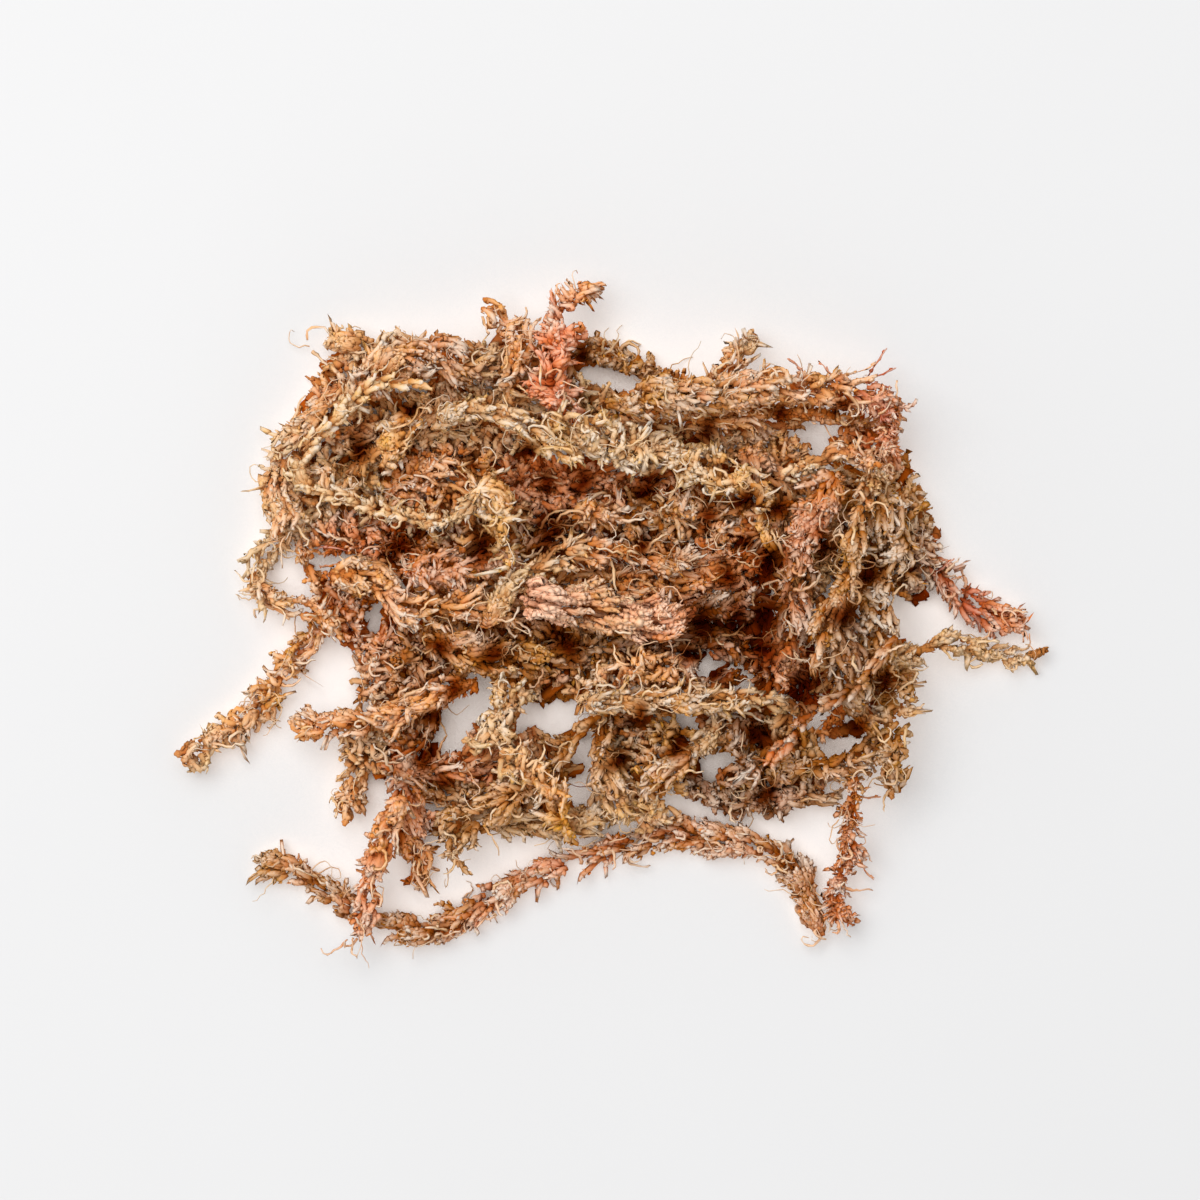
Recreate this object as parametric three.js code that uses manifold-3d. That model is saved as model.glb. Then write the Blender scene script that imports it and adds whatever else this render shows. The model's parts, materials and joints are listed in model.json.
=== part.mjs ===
// Dried sphagnum moss: a loose clump of long leafy stems, tangled as they were pulled from the bale.
// Each strand is one stem with the tufts of short branches that clothe it, all grown together as one piece.
// The strands aren't joined to each other: each one lies over those before it in STRANDS and rests on them.
// Millimetres, +Z up. The origin is at the middle of the clump's box, on the surface that it lies on.
import * as THREE from "three";
import { mergeVertices } from "three/addons/utils/BufferGeometryUtils.js";
import Module from "manifold-3d";

const wasm = await Module();
wasm.setup();

// Driving dimensions
const WHORL_STEP = 3.1; // along a stem, from one whorl of branch tips to the next
const SIDES = 6; // corners of a whorl, and every second one is a branch tip
const AIR = 0.36; // left between strands where they rest on each other
const SQUEEZE = 0.82; // share of its girth that a strand keeps where another crosses it
const PRESSED_FLAT = 0.45; // how far the lowest branch tips are flattened by the surface
const SPREAD = 1.22; // how much wider than tall a strand lies, as its branches fall to its sides
const STEEPEST = 0.62; // slope at which a strand comes down from what carries it
const CREST = 3.2; // how roundly it bends over what carries it
const CLEAR = 0.26; // least gap between two strands
const SEATED = 0.45; // gap at which a strand counts as resting on another
const LOOK_FOR = 6; // how far apart strands can be and still be brought together
const BRANCH_THICK = 1.3; // width of a free branch at its middle
const DRAW_IN = 0.12; // share of the girth by which a crowding branch tip is drawn in at a time
const NOISE_WAVE = 9; // length of the thick and thin stretches of a strand

// How the branches of a strand lie. core: the solid middle, as a share of the girth. reach: how far the tips
// stand out, as shares of the girth. lean: how far they point along the stem, in whorl steps. twist: turn
// from whorl to whorl, in radians. free: long branches that stand clear of the rest, per 10 mm. tuft: those at the tip.
const HABITS = {
  rope: { core: 0.66, reach: [0.84, 1.02], lean: [0.5, 0.8], twist: 0.22, free: 0.3, tuft: 2 },
  shaggy: { core: 0.53, reach: [0.8, 1.08], lean: [0.3, 0.85], twist: 0.1, free: 0.9, tuft: 4 },
  curly: { core: 0.52, reach: [0.72, 1.1], lean: [-0.15, 0.65], twist: 0.14, free: 1.1, tuft: 4 },
  star: { core: 0.5, reach: [0.84, 1.1], lean: [0.1, 0.7], twist: 0.1, free: 1.2, tuft: 7 },
};

const COLOURS = {
  straw: { color: 0xd9bd92, roughness: 0.9 },
  tan: { color: 0xc49468, roughness: 0.9 },
  golden: { color: 0xc79259, roughness: 0.88 },
  russet: { color: 0xb26d4b, roughness: 0.88 },
  salmon: { color: 0xd18d72, roughness: 0.88 },
  olive: { color: 0x98794e, roughness: 0.92 },
  umber: { color: 0x835a38, roughness: 0.94 },
};

// girth: radius of the strand with its branches. route: the stem's path seen from above, from its cut end to its
// growing tip. A strand lies over those before it.
const STRANDS = [
  // The lowest strands, flat on the surface
  {
    name: "strand_long_floor", colour: "tan", habit: "rope", girth: 3.3,
    route: [
      [42, -65], [40, -59], [38, -54], [34, -49], [27, -46], [19, -45], [11, -44], [3, -47], [-4, -49],
      [-12, -51], [-20, -54], [-26, -58], [-31, -62], [-37, -64], [-45, -63], [-52, -60], [-57, -57],
      [-62, -53], [-68, -51], [-73, -52],
    ],
  },
  {
    name: "strand_olive_floor", colour: "olive", habit: "shaggy", girth: 4.1,
    route: [[-40, -37], [-33, -36], [-26, -39], [-19, -42], [-11, -43], [-4, -41], [-1, -34], [-2, -28]],
  },
  {
    name: "strand_lower_right_band", colour: "umber", habit: "curly", girth: 4.1,
    route: [[14, -33], [19, -37], [25, -38], [32, -38], [39, -37], [45, -34], [50, -31]],
  },
  {
    name: "strand_upper_right_band", colour: "umber", habit: "curly", girth: 4.1,
    route: [[20, -33], [27, -32], [34, -31], [41, -30], [48, -29], [53, -26]],
  },
  {
    name: "strand_right_column", colour: "olive", habit: "curly", girth: 4.8,
    route: [[52, -3], [54, -10], [56, -17], [57, -24], [53, -30]],
  },
  {
    name: "strand_brown_column", colour: "umber", habit: "shaggy", girth: 4.8,
    route: [
      [-41, -4], [-39, -11], [-37, -17], [-38, -24], [-41, -30], [-43, -37], [-41, -45], [-39, -53],
    ],
  },
  {
    name: "strand_left_column", colour: "golden", habit: "curly", girth: 4.4,
    route: [[-47, -2], [-48, -9], [-50, -16], [-51, -24], [-52, -31], [-53, -37]],
  },
  {
    name: "strand_left_point", colour: "golden", habit: "shaggy", girth: 4.2,
    route: [[-28, -13], [-36, -16], [-43, -19], [-50, -22], [-56, -23], [-61, -23]],
  },
  {
    name: "strand_red_row", colour: "russet", habit: "shaggy", girth: 4.6,
    route: [[-45, -31], [-38, -31], [-31, -30], [-25, -27], [-20, -22]],
  },
  {
    name: "strand_left_post", colour: "umber", habit: "shaggy", girth: 3.9,
    route: [[0, -14], [-2, -21], [-2, -28], [-1, -34], [1, -40]],
  },
  {
    name: "strand_right_post", colour: "umber", habit: "curly", girth: 4.5,
    route: [[10, -14], [10, -21], [9, -28], [9, -34], [8, -41]],
  },
  {
    name: "strand_ochre_diagonal", colour: "golden", habit: "shaggy", girth: 3.2,
    route: [[21, -22], [17, -26], [12, -31], [6, -35]],
  },
  {
    name: "strand_tan_tuft", colour: "tan", habit: "curly", girth: 3.0,
    route: [[26, -17], [25, -21], [24, -26], [25, -31]],
  },
  {
    name: "strand_brown_row", colour: "umber", habit: "shaggy", girth: 4.8,
    route: [
      [-38, -4], [-31, -7], [-23, -9], [-15, -9], [-7, -7], [1, -6], [9, -5], [17, -5], [25, -6],
      [33, -9], [41, -13],
    ],
  },
  {
    name: "strand_rust_middle", colour: "russet", habit: "shaggy", girth: 4.8,
    route: [[-24, 27], [-14, 26], [-6, 26], [2, 27], [9, 29], [16, 33]],
  },
  {
    name: "strand_dark_middle", colour: "umber", habit: "shaggy", girth: 5.2,
    route: [[-34, 3], [-24, 3], [-13, 5], [-2, 6], [9, 7], [20, 8], [29, 12]],
  },
  {
    name: "strand_under_top", colour: "umber", habit: "shaggy", girth: 4.6,
    route: [
      [-58, 35], [-50, 37], [-42, 38], [-33, 38], [-24, 40], [-14, 40], [-4, 38], [6, 38], [17, 37],
      [27, 38], [38, 39],
    ],
  },
  {
    name: "strand_right_depth", colour: "umber", habit: "shaggy", girth: 5.0,
    route: [[26, 33], [32, 26], [36, 17], [39, 7], [42, -3], [46, -12], [47, -20]],
  },
  {
    name: "strand_olive_bush", colour: "olive", habit: "shaggy", girth: 5.3,
    route: [[-17, -33], [-22, -37], [-28, -41], [-34, -46]],
  },
  {
    name: "strand_thin_link", colour: "olive", habit: "rope", girth: 1.8,
    route: [[-1, -20], [-6, -21], [-8, -26], [-11, -30], [-15, -32]],
  },
  {
    name: "strand_corner_tail", colour: "russet", habit: "star", girth: 3.4,
    route: [[48, -32], [48, -38], [46, -43], [48, -48], [44, -53], [44, -60]],
  },
  {
    name: "strand_right_reach", colour: "olive", habit: "rope", girth: 2.6,
    route: [[50, -12], [56, -9], [62, -7], [68, -5], [74, -7], [84, -9]],
  },
  {
    name: "strand_red_right", colour: "russet", habit: "star", girth: 4.1,
    route: [[54, 18], [60, 14], [65, 9], [70, 4], [76, -1], [81, -3]],
  },
  {
    name: "strand_left_tail", colour: "golden", habit: "curly", girth: 3.9,
    route: [[-46, 5], [-54, 2], [-60, -3], [-65, -8], [-69, -14], [-72, -19], [-77, -23], [-83, -25]],
  },
  {
    name: "strand_left_hook", colour: "golden", habit: "shaggy", girth: 3.4,
    route: [[-55, 20], [-63, 19], [-69, 15], [-73, 10], [-72, 4], [-66, 1], [-58, 1]],
  },
  {
    name: "strand_left_shoulder", colour: "russet", habit: "shaggy", girth: 4.3,
    route: [[-46, 50], [-53, 46], [-58, 41], [-63, 36], [-68, 31], [-68, 25], [-65, 19]],
  },
  {
    name: "strand_top_left_ochre", colour: "golden", habit: "shaggy", girth: 4.1,
    route: [[-34, 49], [-41, 53], [-47, 54], [-53, 54], [-57, 56]],
  },
  {
    name: "strand_top_left_mass", colour: "tan", habit: "shaggy", girth: 5.3,
    route: [[-54, 40], [-49, 46], [-43, 51], [-36, 52], [-29, 50], [-22, 50]],
  },
  {
    name: "strand_top_middle", colour: "tan", habit: "curly", girth: 3.4,
    route: [[-19, 41], [-21, 46], [-19, 51], [-18, 55], [-24, 58]],
  },
  {
    name: "strand_olive_rope", colour: "olive", habit: "rope", girth: 2.6,
    route: [[17, 43], [11, 47], [4, 51], [-2, 53], [-8, 54]],
  },
  {
    name: "strand_top_right_under", colour: "umber", habit: "shaggy", girth: 3.6,
    route: [[16, 39], [24, 40], [32, 40], [40, 41], [47, 40]],
  },
  // The middle of the heap
  {
    name: "strand_left_rust", colour: "russet", habit: "star", girth: 4.6,
    route: [[-36, 11], [-43, 14], [-50, 14], [-56, 14], [-61, 13]],
  },
  {
    name: "strand_left_band", colour: "tan", habit: "shaggy", girth: 4.6,
    route: [[-57, 8], [-50, 8], [-44, 3], [-37, 0], [-30, 2], [-23, 3]],
  },
  {
    name: "strand_middle_band", colour: "tan", habit: "shaggy", girth: 4.6,
    route: [[-41, 8], [-33, 10], [-26, 10], [-19, 11], [-13, 15], [-7, 19]],
  },
  {
    name: "strand_tan_middle_left", colour: "golden", habit: "shaggy", girth: 5.0,
    route: [[-46, 24], [-40, 27], [-33, 29], [-27, 26], [-23, 19]],
  },
  {
    name: "strand_tan_band", colour: "tan", habit: "curly", girth: 4.6,
    route: [[-9, 20], [-1, 20], [8, 21], [17, 21], [25, 19], [33, 17]],
  },
  {
    name: "strand_beige_row", colour: "tan", habit: "shaggy", girth: 4.6,
    route: [[14, 1], [22, 1], [30, 3], [37, 5]],
  },
  {
    name: "strand_green_tuft", colour: "straw", habit: "shaggy", girth: 5.3,
    route: [[51, 28], [54, 21], [56, 14], [53, 7], [53, -1], [50, -8]],
  },
  {
    name: "strand_olive_inner", colour: "olive", habit: "shaggy", girth: 4.8,
    route: [[41, 1], [46, -6], [46, -14], [49, -20]],
  },
  {
    name: "strand_right_drop", colour: "russet", habit: "star", girth: 4.4,
    route: [[56, 42], [54, 36], [52, 29], [49, 22]],
  },
  {
    name: "strand_small_arch", colour: "tan", habit: "curly", girth: 2.6,
    route: [[33, 27], [38, 30], [44, 33], [50, 31]],
  },
  {
    name: "strand_salmon_peak", colour: "salmon", habit: "curly", girth: 4.6,
    route: [[-6, 38], [-11, 43], [-13, 49], [-11, 54], [-9, 59], [-8, 65]],
  },
  {
    name: "strand_top_right_nub", colour: "golden", habit: "curly", girth: 3.8,
    route: [[15, 42], [20, 46], [24, 50], [26, 55]],
  },
  // The strands that lie on top
  {
    name: "strand_red_cross", colour: "russet", habit: "shaggy", girth: 3.6,
    route: [[-42, -36], [-45, -42], [-48, -49], [-49, -56], [-51, -64]],
  },
  {
    name: "strand_top_right_long", colour: "tan", habit: "shaggy", girth: 4.6,
    route: [[-2, 42], [7, 43], [17, 43], [26, 45], [34, 46], [42, 45], [49, 44], [56, 41]],
  },
  {
    name: "strand_golden_mass", colour: "golden", habit: "curly", girth: 4.6,
    route: [[-63, 29], [-56, 27], [-50, 28], [-45, 32], [-42, 38]],
  },
  {
    name: "strand_cream_broad", colour: "straw", habit: "curly", girth: 5.3,
    route: [[-15, 38], [-7, 37], [1, 34], [8, 32], [15, 31], [22, 29], [30, 24]],
  },
  {
    name: "strand_grey_rope", colour: "straw", habit: "rope", girth: 2.6,
    route: [[-37, 37], [-31, 41], [-25, 41], [-19, 38], [-13, 33], [-6, 31]],
  },
  {
    name: "strand_cream_rope", colour: "straw", habit: "rope", girth: 2.1,
    route: [
      [-25, 28], [-28, 23], [-33, 19], [-40, 19], [-47, 21], [-55, 24], [-63, 26], [-64, 31],
      [-59, 36], [-54, 41], [-48, 46], [-38, 46],
    ],
  },
  {
    name: "strand_curly_cream", colour: "straw", habit: "curly", girth: 4.6,
    route: [[-31, 30], [-26, 26], [-22, 20], [-22, 12]],
  },
  {
    name: "strand_rope_arch", colour: "golden", habit: "rope", girth: 2.7,
    route: [[-26, -3], [-21, 5], [-15, 10], [-8, 13], [0, 13], [7, 11], [14, 9]],
  },
  {
    name: "strand_knob", colour: "tan", habit: "curly", girth: 5.0,
    route: [[-8, -17], [-2, -13], [5, -10], [12, -11], [18, -15]],
  },
  {
    name: "strand_pale_row", colour: "straw", habit: "shaggy", girth: 3.4,
    route: [[-6, -18], [2, -17], [10, -17], [18, -16], [26, -17], [36, -17]],
  },
  {
    name: "strand_orange_loop", colour: "golden", habit: "curly", girth: 3.6,
    route: [[-25, -33], [-20, -29], [-15, -31], [-12, -36], [-11, -42]],
  },
  {
    name: "strand_cream_drop", colour: "straw", habit: "curly", girth: 4.1,
    route: [[-22, -9], [-20, -15], [-22, -21], [-25, -27]],
  },
  {
    name: "strand_pink_fall", colour: "russet", habit: "rope", girth: 5.1,
    route: [[44, 28], [40, 21], [37, 14], [36, 7], [35, 0], [33, -7], [32, -12]],
  },
  {
    name: "strand_peach_rope", colour: "salmon", habit: "rope", girth: 3.0,
    route: [[49, 22], [48, 15], [46, 8], [43, 1], [40, -5], [39, -11]],
  },
  {
    name: "strand_red_thread", colour: "salmon", habit: "rope", girth: 1.9,
    route: [[56, -4], [51, -10], [46, -16], [39, -18], [35, -24], [30, -29]],
  },
  {
    name: "strand_fat_pink", colour: "salmon", habit: "rope", girth: 4.8,
    route: [[-18, 3], [-11, 2], [-4, 1], [4, 0], [12, -2]],
  },
];

// A row of numbers from 0 to 1 that is the same in every run.
function seeded(seed) {
  let state = seed;
  return () => {
    state = (state + 0x6d2b79f5) | 0;
    let mixed = Math.imul(state ^ (state >>> 15), 1 | state);
    mixed = (mixed + Math.imul(mixed ^ (mixed >>> 7), 61 | mixed)) ^ mixed;
    return ((mixed ^ (mixed >>> 14)) >>> 0) / 4294967296;
  };
}

const between = ([low, high], draw) => low + (high - low) * draw();

// The stem's line with two points for each whorl, and the girth at each: thin at the cut end, fuller at the tip.
function planOf(strand, draw) {
  const curve = new THREE.CatmullRomCurve3(
    strand.route.map(([x, y]) => new THREE.Vector3(x, y, 0)),
    false,
    "centripetal",
  );
  const length = curve.getLength();
  const whorls = Math.max(5, Math.round(length / WHORL_STEP));
  const points = curve.getSpacedPoints(2 * whorls);
  const phase = [draw() * 7, draw() * 7];
  const girths = points.map((_, i) => {
    const along = (i / (points.length - 1)) * length;
    const root = 0.62 + 0.38 * THREE.MathUtils.smoothstep(along, 0, 9);
    const tip = 0.55 + 0.45 * THREE.MathUtils.smoothstep(length - along, 0, 5);
    const lumps = Math.sin(along / (NOISE_WAVE / 6) + phase[0]) + Math.sin(along / (NOISE_WAVE / 3.5) + phase[1]);
    return strand.girth * root * tip * (1 + 0.055 * lumps);
  });
  return { points, girths, length, step: length / (2 * whorls) };
}

// Lets a strand down on those already laid: nowhere lower than they allow, and no steeper than a stem bends.
function layDown(plan, laid) {
  const { points, girths, step } = plan;
  const last = points.length - 1;
  const lowest = points.map((p, i) => {
    let z = girths[i] - PRESSED_FLAT;
    for (const other of laid)
      for (let j = 0; j < other.points.length; j++) {
        const apart = Math.hypot(p.x - other.points[j].x, p.y - other.points[j].y);
        const needed = SQUEEZE * (girths[i] + other.girths[j]) + AIR;
        if (apart < needed) z = Math.max(z, other.points[j].z + Math.sqrt(needed ** 2 - apart ** 2));
      }
    return z;
  });
  const fall = (i, j) => Math.hypot(CREST, STEEPEST * step * (i - j)) - CREST;
  let heights = lowest.map((_, i) => Math.max(...lowest.map((z, j) => z - fall(i, j))));
  for (let pass = 0; pass < 4; pass++)
    heights = heights.map((z, i) => {
      const eased = (heights[Math.max(0, i - 1)] + 2 * z + heights[Math.min(last, i + 1)]) / 4;
      return Math.max(eased, lowest[i]);
    });
  points.forEach((p, i) => (p.z = heights[i]));
}

// Directions across the stem at each point, carried along it without turning.
function framesAlong(points) {
  const frames = [];
  let across = new THREE.Vector3(0, 0, 1);
  points.forEach((_, i) => {
    const ahead = points[Math.min(points.length - 1, i + 1)];
    const behind = points[Math.max(0, i - 1)];
    const along = ahead.clone().sub(behind).normalize();
    across = across.clone().addScaledVector(along, -across.dot(along)).normalize();
    frames.push({ along, across, side: along.clone().cross(across) });
  });
  return frames;
}

// Distance from a point to another strand's surface, with its branches, less the air between strands.
function clearOf(point, others, own) {
  let room = Infinity;
  for (const other of others) {
    if (other === own) continue;
    for (let j = 0; j < other.points.length; j++)
      room = Math.min(room, point.distanceTo(other.points[j]) - other.girths[j] - AIR);
  }
  return room;
}

// A closed solid from its corners and triangles, with equal corners made one.
function solidFrom(vertices, triangles) {
  const geometry = new THREE.BufferGeometry();
  geometry.setAttribute("position", new THREE.Float32BufferAttribute(vertices.flatMap((v) => v.toArray()), 3));
  geometry.setIndex(triangles.flat());
  const merged = mergeVertices(geometry, 1e-4);
  return new wasm.Manifold(
    new wasm.Mesh({
      numProp: 3,
      vertProperties: merged.attributes.position.array,
      triVerts: new Uint32Array(merged.index.array),
    }),
  );
}

// The clothed stem: a tube whose whorls have a branch tip at every second corner, set between those of the next
// whorl, with hollows between them. Each tip is the peak of four triangles.
function clothedStem(strand) {
  const { points, girths, frames, habit, near } = strand;
  const draw = seeded(strand.seed + 1000);
  const vertices = [];
  const whorls = (points.length - 1) / 2;
  const tips = [];
  for (let k = 0; k < whorls; k++) {
    const i = 2 * k + 1;
    const { along, across, side } = frames[i];
    for (let j = 0; j < SIDES; j++) {
      const isTip = (k + j) % 2 === 0;
      const jitter = isTip ? between([-0.2, 0.2], draw) : 0;
      const angle = (j * 2 * Math.PI) / SIDES + k * habit.twist + strand.turn + jitter;
      const outward = across.clone().multiplyScalar(Math.cos(angle)).addScaledVector(side, SPREAD * Math.sin(angle));
      const wanted = isTip ? between(habit.reach, draw) : habit.core;
      const lean = isTip ? between(habit.lean, draw) * WHORL_STEP : 0;
      const place = (share) =>
        points[i].clone().addScaledVector(outward, girths[i] * share).addScaledVector(along, lean);
      const index = vertices.length;
      const pressed = isTip && clearOf(place(wanted), near, strand) < 0 ? Math.min(wanted, SQUEEZE) : wanted;
      const share = Math.max(habit.core - 0.05, pressed - (strand.drawnIn.get(index) ?? 0));
      const spot = place(share).add(strand.reachedOut.get(index) ?? new THREE.Vector3());
      if (isTip) tips.push({ index, spot, share });
      vertices.push(spot);
    }
  }
  const triangles = [];
  const corner = (k, j) => k * SIDES + (j % SIDES);
  for (let k = 0; k + 1 < whorls; k++)
    for (let j = 0; j < SIDES; j++) {
      const [a, b, c, d] = [corner(k, j), corner(k, j + 1), corner(k + 1, j + 1), corner(k + 1, j)];
      if ((k + j) % 2 === 0) triangles.push([a, b, d], [b, c, d]);
      else triangles.push([a, b, c], [a, c, d]);
    }
  const rootEnd = vertices.push(points[0].clone()) - 1;
  const tipEnd = vertices.push(points[points.length - 1].clone()) - 1;
  for (let j = 0; j < SIDES; j++) {
    triangles.push([rootEnd, corner(0, j + 1), corner(0, j)]);
    triangles.push([tipEnd, corner(whorls - 1, j), corner(whorls - 1, j + 1)]);
  }
  return { solid: solidFrom(vertices, triangles), tips };
}

// A free branch: three-sided, rooted in the stem, thickest at its middle and bending to a point.
function branchLine(root, heading, bend, length) {
  return [0, 0.5, 1].map((t) =>
    root.clone().addScaledVector(heading, length * t).addScaledVector(bend, length * t * t),
  );
}

// The solid of a free branch about its line: two rings of three corners, and its point.
function branchSolid(line) {
  const [root, middle, end] = line;
  const along = end.clone().sub(root).normalize();
  const across = new THREE.Vector3(0.31, 0.59, 0.74).cross(along).normalize();
  const side = along.clone().cross(across);
  const ring = (centre, width) =>
    [0, 1, 2].map((j) => {
      const angle = (j * 2 * Math.PI) / 3;
      const outward = across.clone().multiplyScalar(Math.cos(angle)).addScaledVector(side, Math.sin(angle));
      return centre.clone().addScaledVector(outward, width * 0.6);
    });
  const vertices = [...ring(root, BRANCH_THICK * 0.8), ...ring(middle, BRANCH_THICK), end];
  const triangles = [[0, 2, 1]];
  for (let j = 0; j < 3; j++) {
    const next = (j + 1) % 3;
    triangles.push([j, next, 3 + next], [j, 3 + next, 3 + j], [3 + j, 3 + next, 6]);
  }
  return solidFrom(vertices, triangles);
}

// Sets free branches on a strand wherever there is room for them, at places and slants that are drawn.
function freeBranches(strand, all, grown) {
  const { points, girths, frames, habit, length } = strand;
  const draw = seeded(strand.seed + 2000);
  const wanted = Math.round((habit.free * length) / 10) + habit.tuft;
  const lines = [];
  for (let tries = 0; tries < wanted * 12 && lines.length < wanted; tries++) {
    const atTip = lines.length < habit.tuft;
    const last = points.length - 1;
    const i = atTip ? last - 1 - Math.floor(draw() * 2) : 2 + Math.floor(draw() * (last - 5));
    const { along, across, side } = frames[i];
    const angle = draw() * 2 * Math.PI;
    const outward = across.clone().multiplyScalar(Math.cos(angle)).addScaledVector(side, Math.sin(angle));
    const forward = between(atTip ? [0.5, 1.3] : [0.2, 0.9], draw);
    const heading = outward.clone().addScaledVector(along, forward).normalize();
    const bend = along.clone().multiplyScalar(between([-0.1, 0.35], draw)).add(new THREE.Vector3(0, 0, -0.12 * draw()));
    const reach = girths[i] + between([1.2, 3.2], draw);
    const line = branchLine(points[i].clone().addScaledVector(outward, 0.25 * girths[i]), heading, bend, reach);
    const checks = [0.45, 0.7, 0.85, 1].map((t) =>
      line[0].clone().addScaledVector(heading, reach * t).addScaledVector(bend, reach * t * t),
    );
    const room = (p) => Math.min(p.z, clearOf(p, all, strand), ...grown.map((q) => p.distanceTo(q.p) - q.r));
    if (checks.every((p) => room(p) > BRANCH_THICK * 0.6)) {
      lines.push(line);
      grown.push(...checks.map((p) => ({ p, r: BRANCH_THICK * 0.7 + AIR })));
    }
  }
  return lines;
}

// 1. Lay the strands in order, each on those before it.
const strands = [];
STRANDS.forEach((given, index) => {
  const seed = 71 * (index + 1);
  const draw = seeded(seed);
  const plan = planOf(given, draw);
  layDown(plan, strands);
  const habit = HABITS[given.habit];
  strands.push({ ...given, ...plan, seed, habit, turn: draw() * Math.PI, frames: framesAlong(plan.points) });
});
const reachOf = (s) => new THREE.Box3().setFromPoints(s.points).expandByScalar(s.girth * 1.3 + AIR);
for (const strand of strands) {
  const box = reachOf(strand);
  strand.near = strands.filter((other) => other !== strand && reachOf(other).intersectsBox(box));
}

// 2. Set the free branches, clear of every strand and of each other.
const grown = [];
for (const strand of strands) strand.branches = freeBranches(strand, strand.near, grown).map(branchSolid);

// 3. Build each strand, and make room between those that crowd each other.
function build(strand) {
  const { solid, tips } = clothedStem(strand);
  strand.tips = tips;
  let whole = solid;
  for (const branch of strand.branches) whole = whole.add(branch);
  strand.solid = whole.trimByPlane([0, 0, 1], 0);
}
for (const strand of strands) {
  strand.drawnIn = new Map();
  strand.reachedOut = new Map();
  build(strand);
}
const pairs = strands.flatMap((a, i) => a.near.filter((b) => strands.indexOf(b) > i).map((b) => [a, b]));

// How far a point is from the nearest place on a strand, and the middle of the strand there.
function nearestOn(point, strand) {
  let nearest = { apart: Infinity };
  strand.points.forEach((centre, j) => {
    const apart = point.distanceTo(centre) - 0.8 * strand.girths[j];
    if (apart < nearest.apart) nearest = { apart, centre };
  });
  return nearest;
}

// Takes away the free branches that touch the other strand; if none does, draws in the two tips nearest to it.
function drawIn(strand, other) {
  const kept = strand.branches.filter((branch) => branch.minGap(other.solid, CLEAR) >= CLEAR);
  if (kept.length < strand.branches.length) {
    strand.branches = kept;
    return build(strand);
  }
  const loose = strand.tips.filter((tip) => tip.share > strand.habit.core);
  const closest = loose.sort((s, t) => nearestOn(s.spot, other).apart - nearestOn(t.spot, other).apart).slice(0, 2);
  for (const tip of closest) strand.drawnIn.set(tip.index, (strand.drawnIn.get(tip.index) ?? 0) + DRAW_IN);
  build(strand);
}

for (let round = 0; round < 3; round++)
  for (const [a, b] of pairs)
    for (let tries = 0; tries < 24 && a.solid.minGap(b.solid, CLEAR) < CLEAR; tries++) {
      if (tries % 12 === 11) b.points.forEach((point) => (point.z += 0.2));
      drawIn(a, b);
      drawIn(b, a);
    }

// 4. Seat every strand: where a group of them hangs free, the nearest branch reaches out to its neighbour.
function groupsOf(touching) {
  const groupOf = new Map(strands.map((strand) => [strand, new Set([strand])]));
  for (const [a, b] of touching) {
    if (groupOf.get(a) === groupOf.get(b)) continue;
    const joined = new Set([...groupOf.get(a), ...groupOf.get(b)]);
    for (const strand of joined) groupOf.set(strand, joined);
  }
  return groupOf;
}

// Lengthens one of a strand's branch tips until it rests on the other strand, if it can without touching a third.
function reachOut(strand, other) {
  const order = strand.tips
    .map((tip) => ({ tip, ...nearestOn(tip.spot, other) }))
    .sort((s, t) => s.apart - t.apart)
    .slice(0, 6);
  for (const { tip, centre } of order) {
    const before = strand.reachedOut.get(tip.index);
    for (let tries = 0; tries < 5; tries++) {
      const gap = strand.solid.minGap(other.solid, LOOK_FOR);
      if (gap < SEATED) return true;
      const toward = centre.clone().sub(tip.spot).setLength(gap - CLEAR - 0.04);
      strand.reachedOut.set(tip.index, (strand.reachedOut.get(tip.index) ?? new THREE.Vector3()).clone().add(toward));
      build(strand);
      if (strand.near.some((third) => strand.solid.minGap(third.solid, CLEAR) < CLEAR)) break;
    }
    if (before) strand.reachedOut.set(tip.index, before);
    else strand.reachedOut.delete(tip.index);
    build(strand);
  }
  return false;
}

const givenUp = new Set();
for (let round = 0; round < 60; round++) {
  const gaps = pairs.map(([a, b]) => ({ a, b, gap: a.solid.minGap(b.solid, LOOK_FOR) }));
  const groupOf = groupsOf(gaps.filter(({ gap }) => gap < SEATED).map(({ a, b }) => [a, b]));
  const apart = gaps.filter(({ a, b }) => groupOf.get(a) !== groupOf.get(b) && !givenUp.has(`${a.name} ${b.name}`));
  if (!apart.length) break;
  const { a, b } = apart.sort((p, q) => p.gap - q.gap)[0];
  if (!reachOut(b, a) && !reachOut(a, b)) givenUp.add(`${a.name} ${b.name}`);
}

// 5. One mesh for each strand, with the origin under the middle of the clump.
const clump = new THREE.Group();
const box = new THREE.Box3();
for (const strand of strands) {
  const parts = strand.solid.decompose().sort((p, q) => q.volume() - p.volume());
  const mesh = parts[0].getMesh();
  const geometry = new THREE.BufferGeometry();
  geometry.setAttribute("position", new THREE.BufferAttribute(mesh.vertProperties, mesh.numProp));
  geometry.setIndex(new THREE.BufferAttribute(mesh.triVerts, 1));
  geometry.computeVertexNormals();
  const made = new THREE.Mesh(geometry, new THREE.MeshStandardMaterial({ ...COLOURS[strand.colour], metalness: 0 }));
  made.name = strand.name;
  clump.add(made);
  box.expandByObject(made);
}
const middle = box.getCenter(new THREE.Vector3());
clump.position.set(-middle.x, -middle.y, 0);

export default clump;
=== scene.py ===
# A loose heap of long, dried sphagnum moss strands, lying on a pale table.
import heapq
import json
import math

import bpy
import numpy as np
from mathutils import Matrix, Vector
from mathutils.bvhtree import BVHTree


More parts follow.
